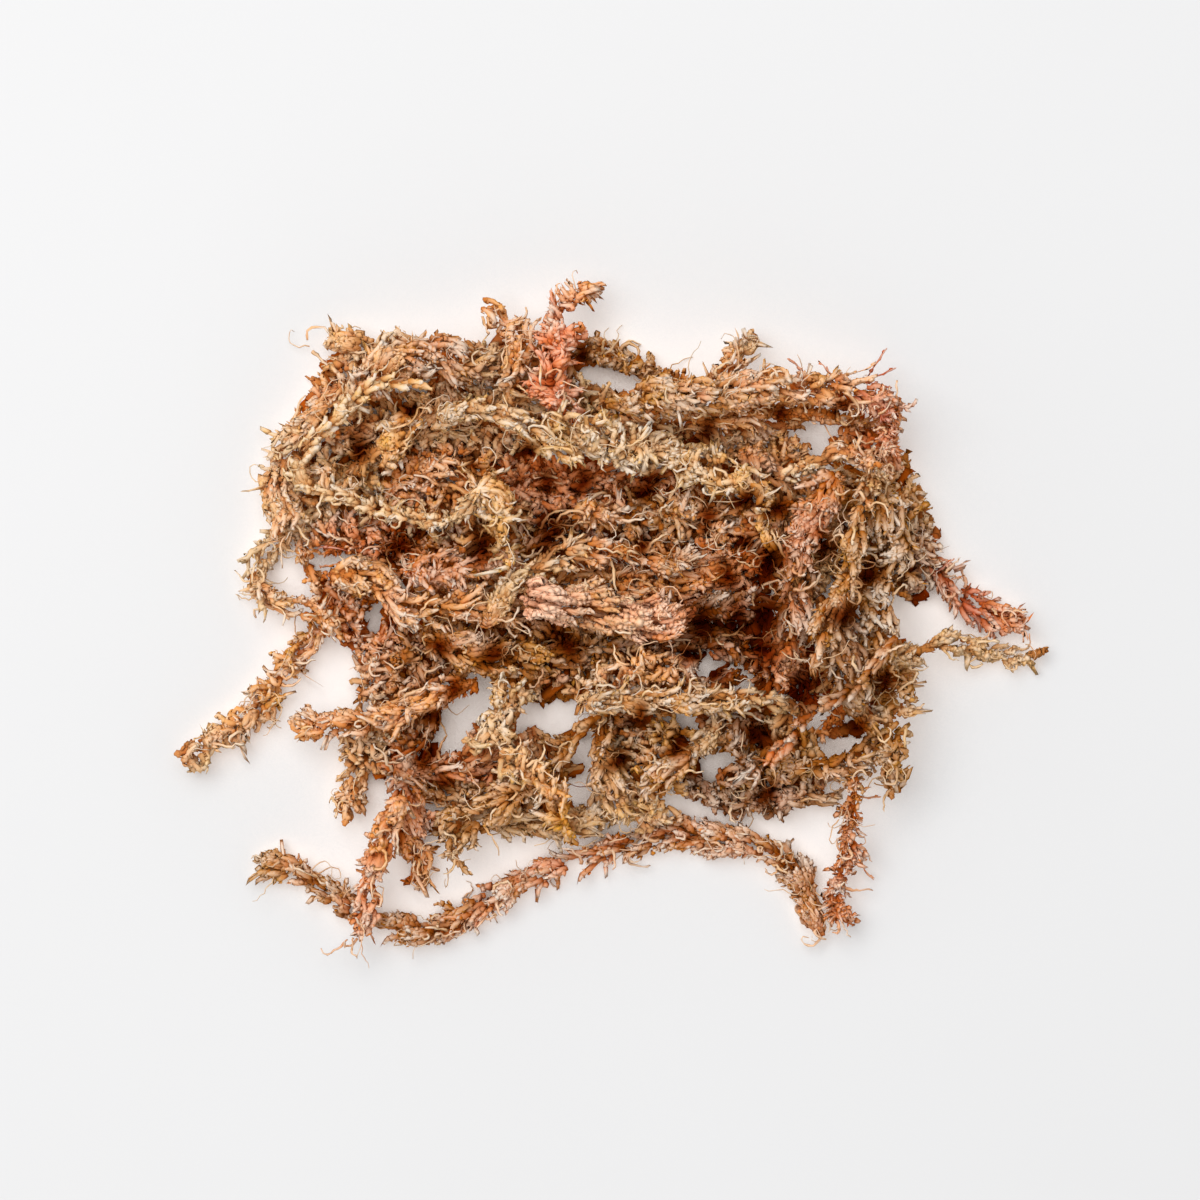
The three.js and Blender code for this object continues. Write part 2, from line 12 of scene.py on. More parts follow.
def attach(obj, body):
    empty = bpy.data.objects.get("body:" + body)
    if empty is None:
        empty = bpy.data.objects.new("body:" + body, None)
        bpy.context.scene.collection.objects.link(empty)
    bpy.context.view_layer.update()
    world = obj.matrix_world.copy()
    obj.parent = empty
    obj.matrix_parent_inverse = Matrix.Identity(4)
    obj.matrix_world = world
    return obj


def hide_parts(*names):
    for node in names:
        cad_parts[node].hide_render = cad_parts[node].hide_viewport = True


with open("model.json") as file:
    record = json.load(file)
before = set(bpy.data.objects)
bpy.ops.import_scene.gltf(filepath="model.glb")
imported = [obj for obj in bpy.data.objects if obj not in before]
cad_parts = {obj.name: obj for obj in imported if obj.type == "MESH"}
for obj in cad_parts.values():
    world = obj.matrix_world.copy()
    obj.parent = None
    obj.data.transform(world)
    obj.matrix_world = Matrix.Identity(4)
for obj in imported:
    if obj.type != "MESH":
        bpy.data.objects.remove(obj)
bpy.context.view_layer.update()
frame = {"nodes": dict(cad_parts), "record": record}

MM = 0.001


# --- A leaf ---------------------------------------------------------------------------------------
# A moss leaf is a papery scoop one cell thick, blunt at its free end, that crumples and bleaches as it dries.
# It is a flat five-sided pyramid: its foot, two shoulders, two corners of the blunt end, and a low keel.
LEAF_LENGTH = 1.7
LEAF_WIDTH = 1.45
LEAF_THICK = 0.3
BLUNT_END_WIDTH = 0.85
END_CUPPED = 0.3
# How wide a five-sided cone of radius one is, and how far it is from its foot to its far corners
CONE_WIDTH = 1.9
CONE_LENGTH = 1.81
ORIGIN = (0, 0, 0)


def to_mode(mode):
    bpy.ops.object.mode_set(mode=mode)


def deselect():
    if bpy.context.object and bpy.context.object.mode != "OBJECT":
        to_mode("OBJECT")
    bpy.ops.object.select_all(action="DESELECT")


def taken_as_arrays():
    """The corners and triangles of the shape just made, which itself is thrown away."""
    made = bpy.context.object
    mesh = made.data
    mesh.calc_loop_triangles()
    corners = np.array([v.co[:] for v in mesh.vertices])
    triangles = np.array([t.vertices[:] for t in mesh.loop_triangles])
    bpy.data.objects.remove(made)
    bpy.data.meshes.remove(mesh)
    return corners, triangles


def only_corners(wanted):
    """Select those corners of the shape in hand which the test picks out, and go on editing it."""
    to_mode("EDIT")
    bpy.ops.mesh.select_all(action="DESELECT")
    to_mode("OBJECT")
    for vertex in bpy.context.object.data.vertices:
        vertex.select = wanted(vertex.co)
    to_mode("EDIT")


deselect()
bpy.ops.mesh.primitive_cone_add(vertices=5, radius1=1, radius2=0, depth=1)
to_mode("EDIT")
bpy.ops.mesh.select_mode(type="VERT")
bpy.ops.mesh.select_all(action="SELECT")
bpy.ops.transform.rotate(value=math.radians(90), orient_axis="X", center_override=ORIGIN)
to_mode("OBJECT")
foot = max(bpy.context.object.data.vertices, key=lambda vertex: abs(vertex.co.z)).co.z
to_mode("EDIT")
bpy.ops.mesh.select_all(action="SELECT")
half_turn = math.radians(180 if foot > 0 else 0)
bpy.ops.transform.rotate(value=half_turn, orient_axis="Y", center_override=ORIGIN)
bpy.ops.transform.translate(value=(0, 0, 1))
leaf_scale = (LEAF_WIDTH / CONE_WIDTH, LEAF_THICK, LEAF_LENGTH / CONE_LENGTH)
bpy.ops.transform.resize(value=leaf_scale, center_override=ORIGIN)
only_corners(lambda place: place.z > LEAF_LENGTH * 0.9)
bpy.ops.transform.resize(value=(BLUNT_END_WIDTH, 1, 1), center_override=ORIGIN)
bpy.ops.transform.translate(value=(0, LEAF_THICK * END_CUPPED, 0))
to_mode("OBJECT")
LEAF, LEAF_FACES = taken_as_arrays()
raised = LEAF[:, 1] - np.median(LEAF[:, 1])
if raised[np.argmax(np.abs(raised))] < 0:
    LEAF = LEAF * [-1, -1, 1]


# --- A branch -------------------------------------------------------------------------------------
# A branch is a soft worm, tapering to a point, clothed in leaves that overlap in a spiral like shingles.
# Here it is straight: two shares across in millimetres, and the share of its length. Its curl comes later.
GOLDEN_TURN = math.radians(137.5)
BODY_RINGS = 6
CRINKLE = 0.12
# How thick the worm is at four places along it
WORM_FORM = ((0, 0.25, 0.8, 1), (0.7, 1, 0.9, 0.45))


def tapered_rod(base, tip, segments, sides=3):
    deselect()
    bpy.ops.mesh.primitive_cone_add(vertices=sides, radius1=base, radius2=tip, depth=1, location=(0, 0, 0.5))
    rod = bpy.context.object
    to_mode("EDIT")
    bpy.ops.mesh.select_mode(type="EDGE")
    bpy.ops.mesh.select_all(action="DESELECT")
    to_mode("OBJECT")
    for edge in rod.data.edges:
        low, high = (rod.data.vertices[v].co.z for v in edge.vertices)
        edge.select = abs(high - low) > 0.5
    to_mode("EDIT")
    bpy.ops.mesh.subdivide(number_cuts=segments - 1)
    to_mode("OBJECT")
    corners, triangles = taken_as_arrays()
    return corners + [0, 0, 0.5], triangles


def turned(x, y, angle):
    return x * np.cos(angle) - y * np.sin(angle), x * np.sin(angle) + y * np.cos(angle)


def branch_shape(length, leaves, opening, crumple, worm, leaf_size, seed):
    """Corners, triangles, and for each corner how near a leaf's tip it is and its leaf's own draw."""
    draw = np.random.default_rng(seed)
    rod, rod_faces = tapered_rod(worm, worm * 0.9, BODY_RINGS, 4)
    ring = np.round(rod[:, 2] * BODY_RINGS).astype(int)
    swell = np.interp(np.arange(BODY_RINGS + 1) / BODY_RINGS, *WORM_FORM)
    swell = (swell * draw.uniform(0.8, 1.15, BODY_RINGS + 1))[ring]
    twist = (np.cumsum(draw.uniform(0.2, 0.9, BODY_RINGS + 1)))[ring]
    flat = draw.uniform(0.75, 1.0)
    rod = np.column_stack([*turned(rod[:, 0] * swell, rod[:, 1] * swell * flat, twist), rod[:, 2]])
    rod += draw.normal(0, CRINKLE * 0.7, rod.shape) * [1, 1, 1 / length]
    corners, triangles = [rod * [1, 1, 0.97]], [rod_faces]
    tips, draws = [np.full(len(rod), 0.35) + 0.35 * rod[:, 2]], [np.full(len(rod), 0.5)]
    for i in range(leaves):
        at = (i + 0.6) / leaves
        turn = i * GOLDEN_TURN + draw.normal(0, 0.3)
        lift = math.radians(opening * (0.7 + 0.5 * at) + draw.normal(0, crumple))
        roll = math.radians(draw.normal(0, crumple * 1.8))
        size = (0.95 - 0.25 * at) * draw.uniform(0.7, 1.2) * leaf_size
        leaf = LEAF * [size * draw.uniform(0.8, 1.2), size, size] + draw.normal(0, CRINKLE, LEAF.shape)
        x, y = turned(leaf[:, 0], leaf[:, 1], roll)
        z, y = turned(leaf[:, 2], y, lift)
        across = turned(x, y + worm * (1 - 0.5 * at) * 0.75, turn)
        triangles.append(LEAF_FACES + sum(len(c) for c in corners))
        corners.append(np.column_stack([*across, (z + at * length * 0.9) / length]))
        tips.append(LEAF[:, 2] / LEAF_LENGTH)
        draws.append(np.full(len(leaf), draw.uniform()))
    return np.concatenate(corners), np.concatenate(triangles), np.concatenate(tips), np.concatenate(draws)


# Lengths of branches, and how many leaves they have. Then how far the leaves of each kind stand open and how
# crumpled they are, in degrees, the thickness of the worm, the share of leaves kept, and their size.
VERSIONS = 4
LENGTHS = {"short": (4.2, 5), "middle": (6.2, 7), "long": (8.8, 10)}
KINDS = {
    "close": (4, 4, 0.8, 0.35, 1.2),
    "loose": (15, 15, 0.76, 1.0, 1.1),
    "spiky": (40, 9, 0.4, 1.2, 1.0),
    "plain": (14, 12, 0.68, 0.4, 1.1),
    "litter": (14, 10, 0.75, 0.3, 1.2),
    "scaly": (8, 5, 0.6, 1.3, 1.25),
    "slender": (12, 3, 0.25, 0.5, 0.75),
}
# Branches pressed against the table are flat and wide.
KIND_FLATTENED = {"litter": (1.7, 0.5)}
BRANCHES = {}
for kind, (opening, crumple, worm, share, leaf_size) in KINDS.items():
    for size, (length, leaves) in LENGTHS.items():
        for version in range(VERSIONS):
            seed = 10 * len(BRANCHES) + version
            grown = branch_shape(length, round(leaves * share), opening, crumple, worm, leaf_size, seed)
            wide, high = KIND_FLATTENED.get(kind, (1, 1))
            BRANCHES[kind, size, version] = (grown[0] * [wide, high, 1], *grown[1:])


# --- A thread -------------------------------------------------------------------------------------
# The finest hanging branches lose most of their leaves and dry to pale, wiry curls on top of the heap.
# Some shrivel to a broader ribbon, and the oldest are bare dark hairs.
rod, rod_faces = tapered_rod(0.17, 0.09, 8)
BRANCHES["thread"] = rod, rod_faces, np.full(len(rod), 1.0), np.full(len(rod), 0.9)
BRANCHES["hair"] = rod * [0.7, 0.7, 1], rod_faces, np.zeros(len(rod)), np.zeros(len(rod))
for version in range(VERSIONS):
    rod, rod_faces = tapered_rod(0.42, 0.2, 8, 4)
    rod = rod * [1, 0.6, 1] + np.random.default_rng(40 + version).normal(0, 0.08, rod.shape) * [1, 1, 0.12]
    BRANCHES["ribbon", version] = rod, rod_faces, np.full(len(rod), 0.65), np.full(len(rod), 0.6)


# --- Moss colours ---------------------------------------------------------------------------------
# Dry moss is matt. Leaf tips bleach to cream, the inner leaves are browner and are painted darker still as
# shade deep in the heap, and each branch has its own tint. Leaves facing up are painted paler as a highlight.
# A strand's own colour changes along it, and is kept at its corners, with how open to the light they lie.
class Value:
    """A number or a link, with which sums are written as Python."""

    def __init__(self, tree, source):
        self.tree, self.source = tree, source

    def fed_to(self, socket):
        if isinstance(self.source, bpy.types.NodeSocket):
            self.tree.links.new(self.source, socket)
        else:
            socket.default_value = self.source

    def _math(self, operation, other):
        node = self.tree.nodes.new("ShaderNodeMath")
        node.operation = operation
        self.fed_to(node.inputs[0])
        (other if isinstance(other, Value) else Value(self.tree, other)).fed_to(node.inputs[1])
        return Value(self.tree, node.outputs[0])

    def __add__(self, other):
        return self._math("ADD", other)

    def __mul__(self, other):
        return self._math("MULTIPLY", other)

    def __sub__(self, other):
        return self._math("SUBTRACT", other)

    def __rsub__(self, other):
        return Value(self.tree, other) - self

    __radd__ = __add__
    __rmul__ = __mul__

    def clamped(self):
        return self._math("MAXIMUM", 0.0)._math("MINIMUM", 1.0)


class Finish:
    """A material, with one method that makes every node in it."""

    def __init__(self, name):
        self.material = bpy.data.materials.new(name)
        self.material.use_nodes = True
        self.tree = self.material.node_tree
        self.tree.nodes.clear()

    def node(self, kind, settings=(), output=0, **inputs):
        made = self.tree.nodes.new(kind)
        for key, value in dict(settings).items():
            setattr(made, key, value)
        for key, value in inputs.items():
            socket = made.inputs[int(key[1:]) if key[1:].isdigit() else key.replace("_", " ")]
            (value if isinstance(value, Value) else Value(self.tree, value)).fed_to(socket)
        return Value(self.tree, made.outputs[output]) if made.outputs else self.material

    def attribute(self, name, output=0):
        return self.node("ShaderNodeAttribute", {"attribute_name": name}, output)

    def noise(self, place, scale, detail):
        return self.node("ShaderNodeTexNoise", i0=place, i2=scale, i3=detail)

    def mixed(self, factor, first, second, blend="MIX"):
        settings = {"data_type": "RGBA", "blend_type": blend, "clamp_factor": True}
        return self.node("ShaderNodeMix", settings, output=2, i0=factor, i6=first, i7=second)


def linear(red, green, blue):
    """Linear light from colours as they look on a screen."""
    return tuple(c / 12.92 if c <= 0.04045 else ((c + 0.055) / 1.055) ** 2.4 for c in (red, green, blue))


CREAM = (*linear(0.835, 0.785, 0.73), 1)
INNER_BROWN_AND_SHADE = (0.50, 0.19, 0.03, 1)
# The painted shade in the hollows between the strands
PAINTED_HOLLOW_SHADE = (0.25, 0.12, 0.04, 1)
# How many of each mottling there are to a metre, and of the streaks across and along a branch to a millimetre
PATCHES_SCALE, BROAD_SCALE, FINE_SCALE, CRINKLE_SCALE = 130.0, 220.0, 700.0, 2000.0
STREAKS_SCALE = (2.4, 2.4, 0.6)
# The most of the accent colour, and how pale, bright and rough the moss is in the mean
ACCENT_MOST = 0.7
PALENESS = 0.60
BRIGHTNESS = 0.97
ROUGHNESS = 0.74
BUMP_HEIGHT = 0.0002


def moss_finish(name, accent, pale_share):
    """The strand's own colour, brown inside and painted with shade deep down, cream at the leaf tips and in a
    painted highlight, and here and there an accent.
    """
    finish = Finish(name)
    tone = finish.attribute("tone")
    grown = finish.attribute("grown")
    parts = finish.node("ShaderNodeSeparateColor", i0=grown).source.node.outputs
    tint, tip, out = (Value(finish.tree, parts[k]) for k in range(3))
    upward = finish.attribute("grown", output=3)
    open_above = finish.attribute("tone", output=3)
    place = finish.node("ShaderNodeTexCoord", output=3)
    lie = finish.attribute("lie")
    drawn_out = finish.node("ShaderNodeVectorMath", {"operation": "MULTIPLY"}, i0=lie, i1=STREAKS_SCALE)
    patches = finish.noise(place, PATCHES_SCALE, 2.0)
    broad = finish.noise(place, BROAD_SCALE, 2.0)
    fine = finish.noise(place, FINE_SCALE, 2.0)
    streaks = finish.noise(drawn_out, 1.0, 3.0)
    crinkle = finish.noise(place, CRINKLE_SCALE, 1.0)
    accent_share = ((patches - 0.52) * 3.0 + (tint - 0.5) * 0.4 + 0.15).clamped() * ACCENT_MOST
    base = finish.mixed(accent_share, tone, (*accent, 1))
    # Painted shade: leaves near the stem and deep in the heap, where the out share is low, are darkened
    # towards brown.
    depth = (0.9 - (out - 0.12) * 1.6).clamped()
    brown = finish.mixed(1.0, base, INNER_BROWN_AND_SHADE, "MULTIPLY")
    base = finish.mixed(depth, base, brown)
    # Real bleaching of the leaf tips, plus a painted highlight: leaves that face up and lie open are mixed
    # further towards cream.
    bleach_and_highlight = PALENESS + (tip - 0.45) * 0.5 + (broad - 0.5) * 1.6 + (fine - 0.5) * 0.45 + (tint - 0.5) * 0.45
    bleach_and_highlight = bleach_and_highlight + (streaks - 0.5) * 0.5 + (upward - 0.82) * 1.5 + (crinkle - 0.5) * 0.8
    base = finish.mixed(bleach_and_highlight.clamped() * ((out - 0.3) * 1.5).clamped() * pale_share, base, CREAM)
    shade = (BRIGHTNESS + (streaks - 0.5) * 0.3 + (tint - 0.5) * 0.1 + (patches - 0.5) * 0.5).clamped()
    grey = finish.node("ShaderNodeCombineColor", i0=shade, i1=shade, i2=shade)
    base = finish.mixed(1.0, base, grey, "MULTIPLY")
    # Painted shade in the dark hollows between the strands, by the tone's fourth share.
    shaded_in_hollows = finish.mixed(1.0, base, PAINTED_HOLLOW_SHADE, "MULTIPLY")
    base = finish.mixed(1.0 - open_above, base, shaded_in_hollows)
    rough = ROUGHNESS + (fine - 0.5) * 0.3
    bump = finish.node("ShaderNodeBump", Strength=0.35, Distance=BUMP_HEIGHT, Height=streaks + crinkle * 0.6)
    surface = finish.node(
        "ShaderNodeBsdfPrincipled", Base_Color=base, Roughness=rough, Normal=bump, Specular_IOR_Level=0.0
    )
    return finish.node("ShaderNodeOutputMaterial", i0=surface)


# Each material's accent colour, and how far its tips bleach
ACCENTS = {
    "moss_straw": ((0.84, 0.66, 0.42), 1.0),
    "moss_tan": ((0.84, 0.57, 0.42), 0.95),
    "moss_golden": ((0.82, 0.53, 0.31), 0.9),
    "moss_russet": ((0.84, 0.57, 0.38), 0.85),
    "moss_salmon": ((0.86, 0.68, 0.50), 0.8),
    "moss_olive": ((0.76, 0.60, 0.40), 0.75),
    "moss_umber": ((0.76, 0.50, 0.34), 0.7),
}
MATERIALS = {name: moss_finish(name, linear(*accent), share) for name, (accent, share) in ACCENTS.items()}


# --- The stems ------------------------------------------------------------------------------------
# Each strand of moss is one long thin stem, which its branches hide. It is found as the middle of the
# strand's solid, from root to tip, with how far out from it the solid reaches all round.

# Turns round a stem at which the surface of the solid is felt for, and millimetres between a stem's points
TURNS = 16
STEM_STEP = 3.2


def unit(vectors):
    return vectors / np.maximum(np.linalg.norm(vectors, axis=-1, keepdims=True), 1e-9)


def welded(solid):
    """A solid's corners in millimetres and its triangles, with its equal corners made one."""
    raw = np.array([v.co[:] for v in solid.data.vertices]) / MM
    corners, index = np.unique(np.round(raw, 3), axis=0, return_inverse=True)
    index = index.ravel()
    faces = np.array([[index[v] for v in p.vertices] for p in solid.data.polygons])
    whole = (faces[:, 0] != faces[:, 1]) & (faces[:, 1] != faces[:, 2]) & (faces[:, 2] != faces[:, 0])
    return corners, faces[whole]


def neighbours_of(count, faces):
    around = [set() for _ in range(count)]
    for face in faces:
        for a, b in ((0, 1), (1, 2), (2, 0)):
            around[face[a]].add(int(face[b]))
            around[face[b]].add(int(face[a]))
    return around


def distances(corners, around, start):
    """How far every corner is from the first along the surface."""
    far = np.full(len(corners), np.inf)
    far[start] = 0
    queue = [(0.0, start)]
    while queue:
        reached, v = heapq.heappop(queue)
        if reached > far[v]:
            continue
        for w in around[v]:
            step = reached + float(np.linalg.norm(corners[v] - corners[w]))
            if step < far[w]:
                far[w] = step
                heapq.heappush(queue, (step, w))
    return far


def stem_line(corners, around, root_side):
    """The middle of a strand from root to tip: its corners, averaged by how far along it they lie."""
    end = int(np.argmax(distances(corners, around, 0)))
    along = distances(corners, around, end)
    bins = max(4, int(along.max() / STEM_STEP))
    which = np.minimum((along / along.max() * bins).astype(int), bins - 1)
    middle = [corners[which == k].mean(0) for k in range(bins) if (which == k).any()]
    first = corners[end] * 0.7 + middle[0] * 0.3
    last = corners[np.argmax(along)] * 0.7 + middle[-1] * 0.3
    middle = np.array([first, *middle, last])
    for _ in range(2):
        middle[1:-1] = (middle[:-2] + 2 * middle[1:-1] + middle[2:]) / 4
    run = middle[-1] - middle[0]
    if {"left": run[0] < 0, "right": run[0] > 0, "bottom": run[1] < 0, "top": run[1] > 0}[root_side]:
        middle = middle[::-1]
    steps = np.concatenate([[0], np.cumsum(np.linalg.norm(np.diff(middle, axis=0), axis=1))])
    spots = np.linspace(0, steps[-1], max(8, int(steps[-1])))
    return np.stack([np.interp(spots, steps, middle[:, k]) for k in range(3)], 1), steps[-1]


def carried_frames(line):
    """Directions along a line, and two across it that don't twist from point to point."""
    ahead = unit(np.gradient(line, axis=-2))
    side = np.zeros_like(ahead)
    start = np.cross(ahead[..., 0, :], [0.13, 0.21, 0.97])
    side[..., 0, :] = unit(start)
    for k in range(1, line.shape[-2]):
        before = side[..., k - 1, :]
        here = ahead[..., k, :]
        side[..., k, :] = unit(before - here * (before * here).sum(-1, keepdims=True))
    return ahead, side, np.cross(ahead, side)


def surface_reach(tree, stem, side, other, girth):
    """How far out the solid reaches from its stem, at each point and in each of the turns round it."""
    reach = np.zeros((len(stem), TURNS))
    for k in range(len(stem)):
        for turn in range(TURNS):
            angle = 2 * math.pi * turn / TURNS
            heading = side[k] * math.cos(angle) + other[k] * math.sin(angle)
            far = tree.ray_cast(Vector(stem[k]), Vector(heading))[3]
            reach[k, turn] = girth if far is None else far
    reach = np.clip(reach, 0.3 * girth, 1.7 * girth)
    return (reach + np.roll(reach, 1, 1) + np.roll(reach, -1, 1)) / 3


shape_of = {node: welded(solid) for node, solid in sorted(frame["nodes"].items())}
tree_of = {n: BVHTree.FromPolygons([Vector(c) for c in s[0]], s[1].tolist()) for n, s in shape_of.items()}
starts = np.cumsum([0] + [len(s[0]) for s in shape_of.values()])
all_corners = np.concatenate([s[0] for s in shape_of.values()])
all_faces = np.concatenate([s[1] + o for s, o in zip(shape_of.values(), starts)])
owner = np.concatenate([np.full(len(s[1]), k) for k, s in enumerate(shape_of.values())])
heap_tree = BVHTree.FromPolygons([Vector(c) for c in all_corners], all_faces.tolist())
names = [node.removeprefix("strand_") for node in shape_of]


# --- Holes and hollows ----------------------------------------------------------------------------
# A loose heap has holes right through it, where the table shows, and dark hollows between its strands.
# Branches keep out of the holes, and are short and low in the hollows, where their leaves are painted with
# shade.

# Where the table shows through, seen from above: both ends of a stretch, and its half width
FLOOR_HOLES = [
    (-27.7, -15.3, -33.9, -24.3, 4.0), (-17.7, -21.7, -8.9, -20.3, 3.4), (-5.3, -26.3, -7.7, -36.3, 2.8),
    (9.7, -20.9, 15.1, -21.3, 1.9), (17.7, -32.3, 22.1, -29.3, 2.4), (17.9, -10.9, 21.1, -8.3, 1.9),
    (24.3, -11.7, 26.3, -15.3, 2.1), (39.7, -21.7, 45.7, -21.3, 1.9), (43.1, -27.7, 46.3, -26.9, 2.4),
    (9.7, -37.9, 21.7, -41.3, 1.8), (36.7, -41.3, 41.7, -46.3, 3.6), (-37.3, -38.5, -33.3, -38.5, 1.2),
    (-5.3, 48.3, 5.7, 45.7, 2.2), (35.7, 39.1, 43.7, 38.3, 3.0), (39.0, 37.0, 42.0, 31.5, 2.6),
    (55.7, 0.7, 63.7, -5.3, 3.4), (-58.9, 10.7, -53.3, 8.7, 3.0), (-48.9, 2.7, -48.9, -3.0, 1.6),
    (-55.3, -9.3, -52.9, -17.3, 3.2), (60.5, 36.0, 67.0, 19.5, 3.5), (60.5, 44.0, 60.5, 39.0, 2.5),
    (-2.0, 60.5, -2.0, 67.0, 3.0), (-52.0, -38.4, -49.5, -40.0, 1.5), (-44.5, -52.0, -41.0, -54.0, 1.5),
    (58.5, -33.0, 59.5, -30.0, 2.0), (-88.2, -25.0, -87.2, -36.0, 2.8), (86.8, -3.0, 86.8, -18.0, 2.6),
]
# Dark hollows between the strands, seen from above, with their half widths
HOLLOWS = [
    (17.5, -2.5, 4.5), (24.0, -1.5, 3.5), (30.1, -0.1, 4.0), (37.3, -15.3, 4.0), (5.9, 24.5, 3.0),
    (-13.3, 16.1, 4.0), (-9.7, -6.5, 3.5), (30.7, 10.0, 3.5), (14.9, -8.3, 3.0), (44.9, -0.5, 3.5),
    (27.9, -24.3, 3.0), (-43.9, 13.5, 3.5), (29.5, -7.1, 3.5), (-51.5, 32.5, 3.5), (-6.5, 26.3, 2.5),
    (50.5, 7.5, 3.0), (18.1, 36.3, 2.5), (20.1, -12.3, 2.0), (-26.7, 13.3, 3.5), (-24.3, -8.3, 3.0),
    (-13.9, 26.1, 2.5), (18.5, 19.3, 2.5), (0.3, -29.7, 2.5), (53.7, -13.1, 2.5), (-17.7, 32.7, 2.0),
    (4.9, -20.3, 2.5), (22.5, 7.5, 2.5), (48.5, -22.7, 2.5), (30.5, -36.1, 2.5), (-6.9, 52.1, 2.0),
    (-38.0, -28.5, 3.0), (12.3, -26.7, 2.5), (32.3, 20.9, 2.5), (-32.5, -15.3, 2.5), (25.7, 22.9, 2.5),
    (-36.5, -20.9, 2.0), (41.7, 13.7, 2.5), (-28.3, 29.3, 2.0), (5.3, 13.5, 2.0), (-34.7, -34.1, 2.0),
    (-35.3, -6.7, 2.5), (32.7, 40.1, 2.0), (45.0, 41.6, 2.0), (25.9, 14.3, 2.0), (-41.7, 40.7, 2.0),
]


# The share of a hole's width that branches keep clear
HOLE_SHARE = 0.88


def in_a_hole(spots, margin=0.0):
    """Whether each spot, seen from above, lies where the table shows through."""
    inside = np.zeros(spots.shape[:-1], bool)
    for x1, y1, x2, y2, half_width in FLOOR_HOLES:
        start, way = np.array([x1, y1]), np.array([x2 - x1, y2 - y1])
        share = np.clip((spots[..., :2] - start) @ way / (way @ way), 0, 1)
        away = np.linalg.norm(spots[..., :2] - start - share[..., None] * way, axis=-1)
        inside |= away < half_width * HOLE_SHARE + margin
    return inside


def brightness_in_hollows(spots):
    """One away from the hollows, down to nothing in their middles."""
    kept = np.ones(len(spots))
    for x, y, half_width in HOLLOWS:
        turn = np.arctan2(spots[:, 1] - y, spots[:, 0] - x)
        lobes = 1.1 + 0.25 * np.sin(2 * turn + x) + 0.15 * np.sin(3 * turn + 2 * y)
        away = np.hypot(spots[:, 0] - x, spots[:, 1] - y) / half_width / lobes
        kept = np.minimum(kept, np.clip((away - 0.25) / 1.0, 0, 1))
    return kept


# The heap's outer edge
HEAP_EDGE = [
    (-56, 53), (-20, 54), (-8, 55), (18, 46), (36, 47), (55, 43), (57, 33), (64, 18), (60, 4), (57, -16),
    (52, -30), (34, -38), (6, -42), (-20, -42), (-35, -46), (-43, -35), (-52, -28), (-54, -8), (-62, 8),
    (-69, 28), (-66, 36),
]


def inside_edge(x, y):
    inside = False
    for (x1, y1), (x2, y2) in zip(HEAP_EDGE, HEAP_EDGE[1:] + HEAP_EDGE[:1]):
        if (y1 > y) != (y2 > y) and x < x1 + (y - y1) * (x2 - x1) / (y2 - y1):
            inside = not inside
    return inside


# --- Branches on the strands ----------------------------------------------------------------------
# Branches grow out of a stem in tufts all round it, lie forward along it, and curl as they dry.
# A strand keeps the form of its solid. Where others are near, its branches reach out and tangle with them.
COLOURS = {
    "cream": (0.90, 0.74, 0.51),
    "straw": (0.89, 0.69, 0.39),
    "ochre": (0.89, 0.63, 0.24),
    "tan": (0.88, 0.59, 0.27),
    "orange": (0.90, 0.57, 0.23),
    "peach": (0.89, 0.63, 0.34),
    "salmon": (0.91, 0.52, 0.29),
    "rose": (0.88, 0.55, 0.29),
    "rust": (0.83, 0.47, 0.17),
    "red": (0.76, 0.35, 0.17),
    "grey": (0.85, 0.66, 0.41),
    "olive": (0.77, 0.53, 0.21),
    "moss": (0.71, 0.47, 0.16),
    "brown": (0.75, 0.47, 0.15),
    "umber": (0.58, 0.35, 0.10),
    "blush": (0.97, 0.76, 0.62),
}
TONES = {word: linear(*colour) for word, colour in COLOURS.items()}
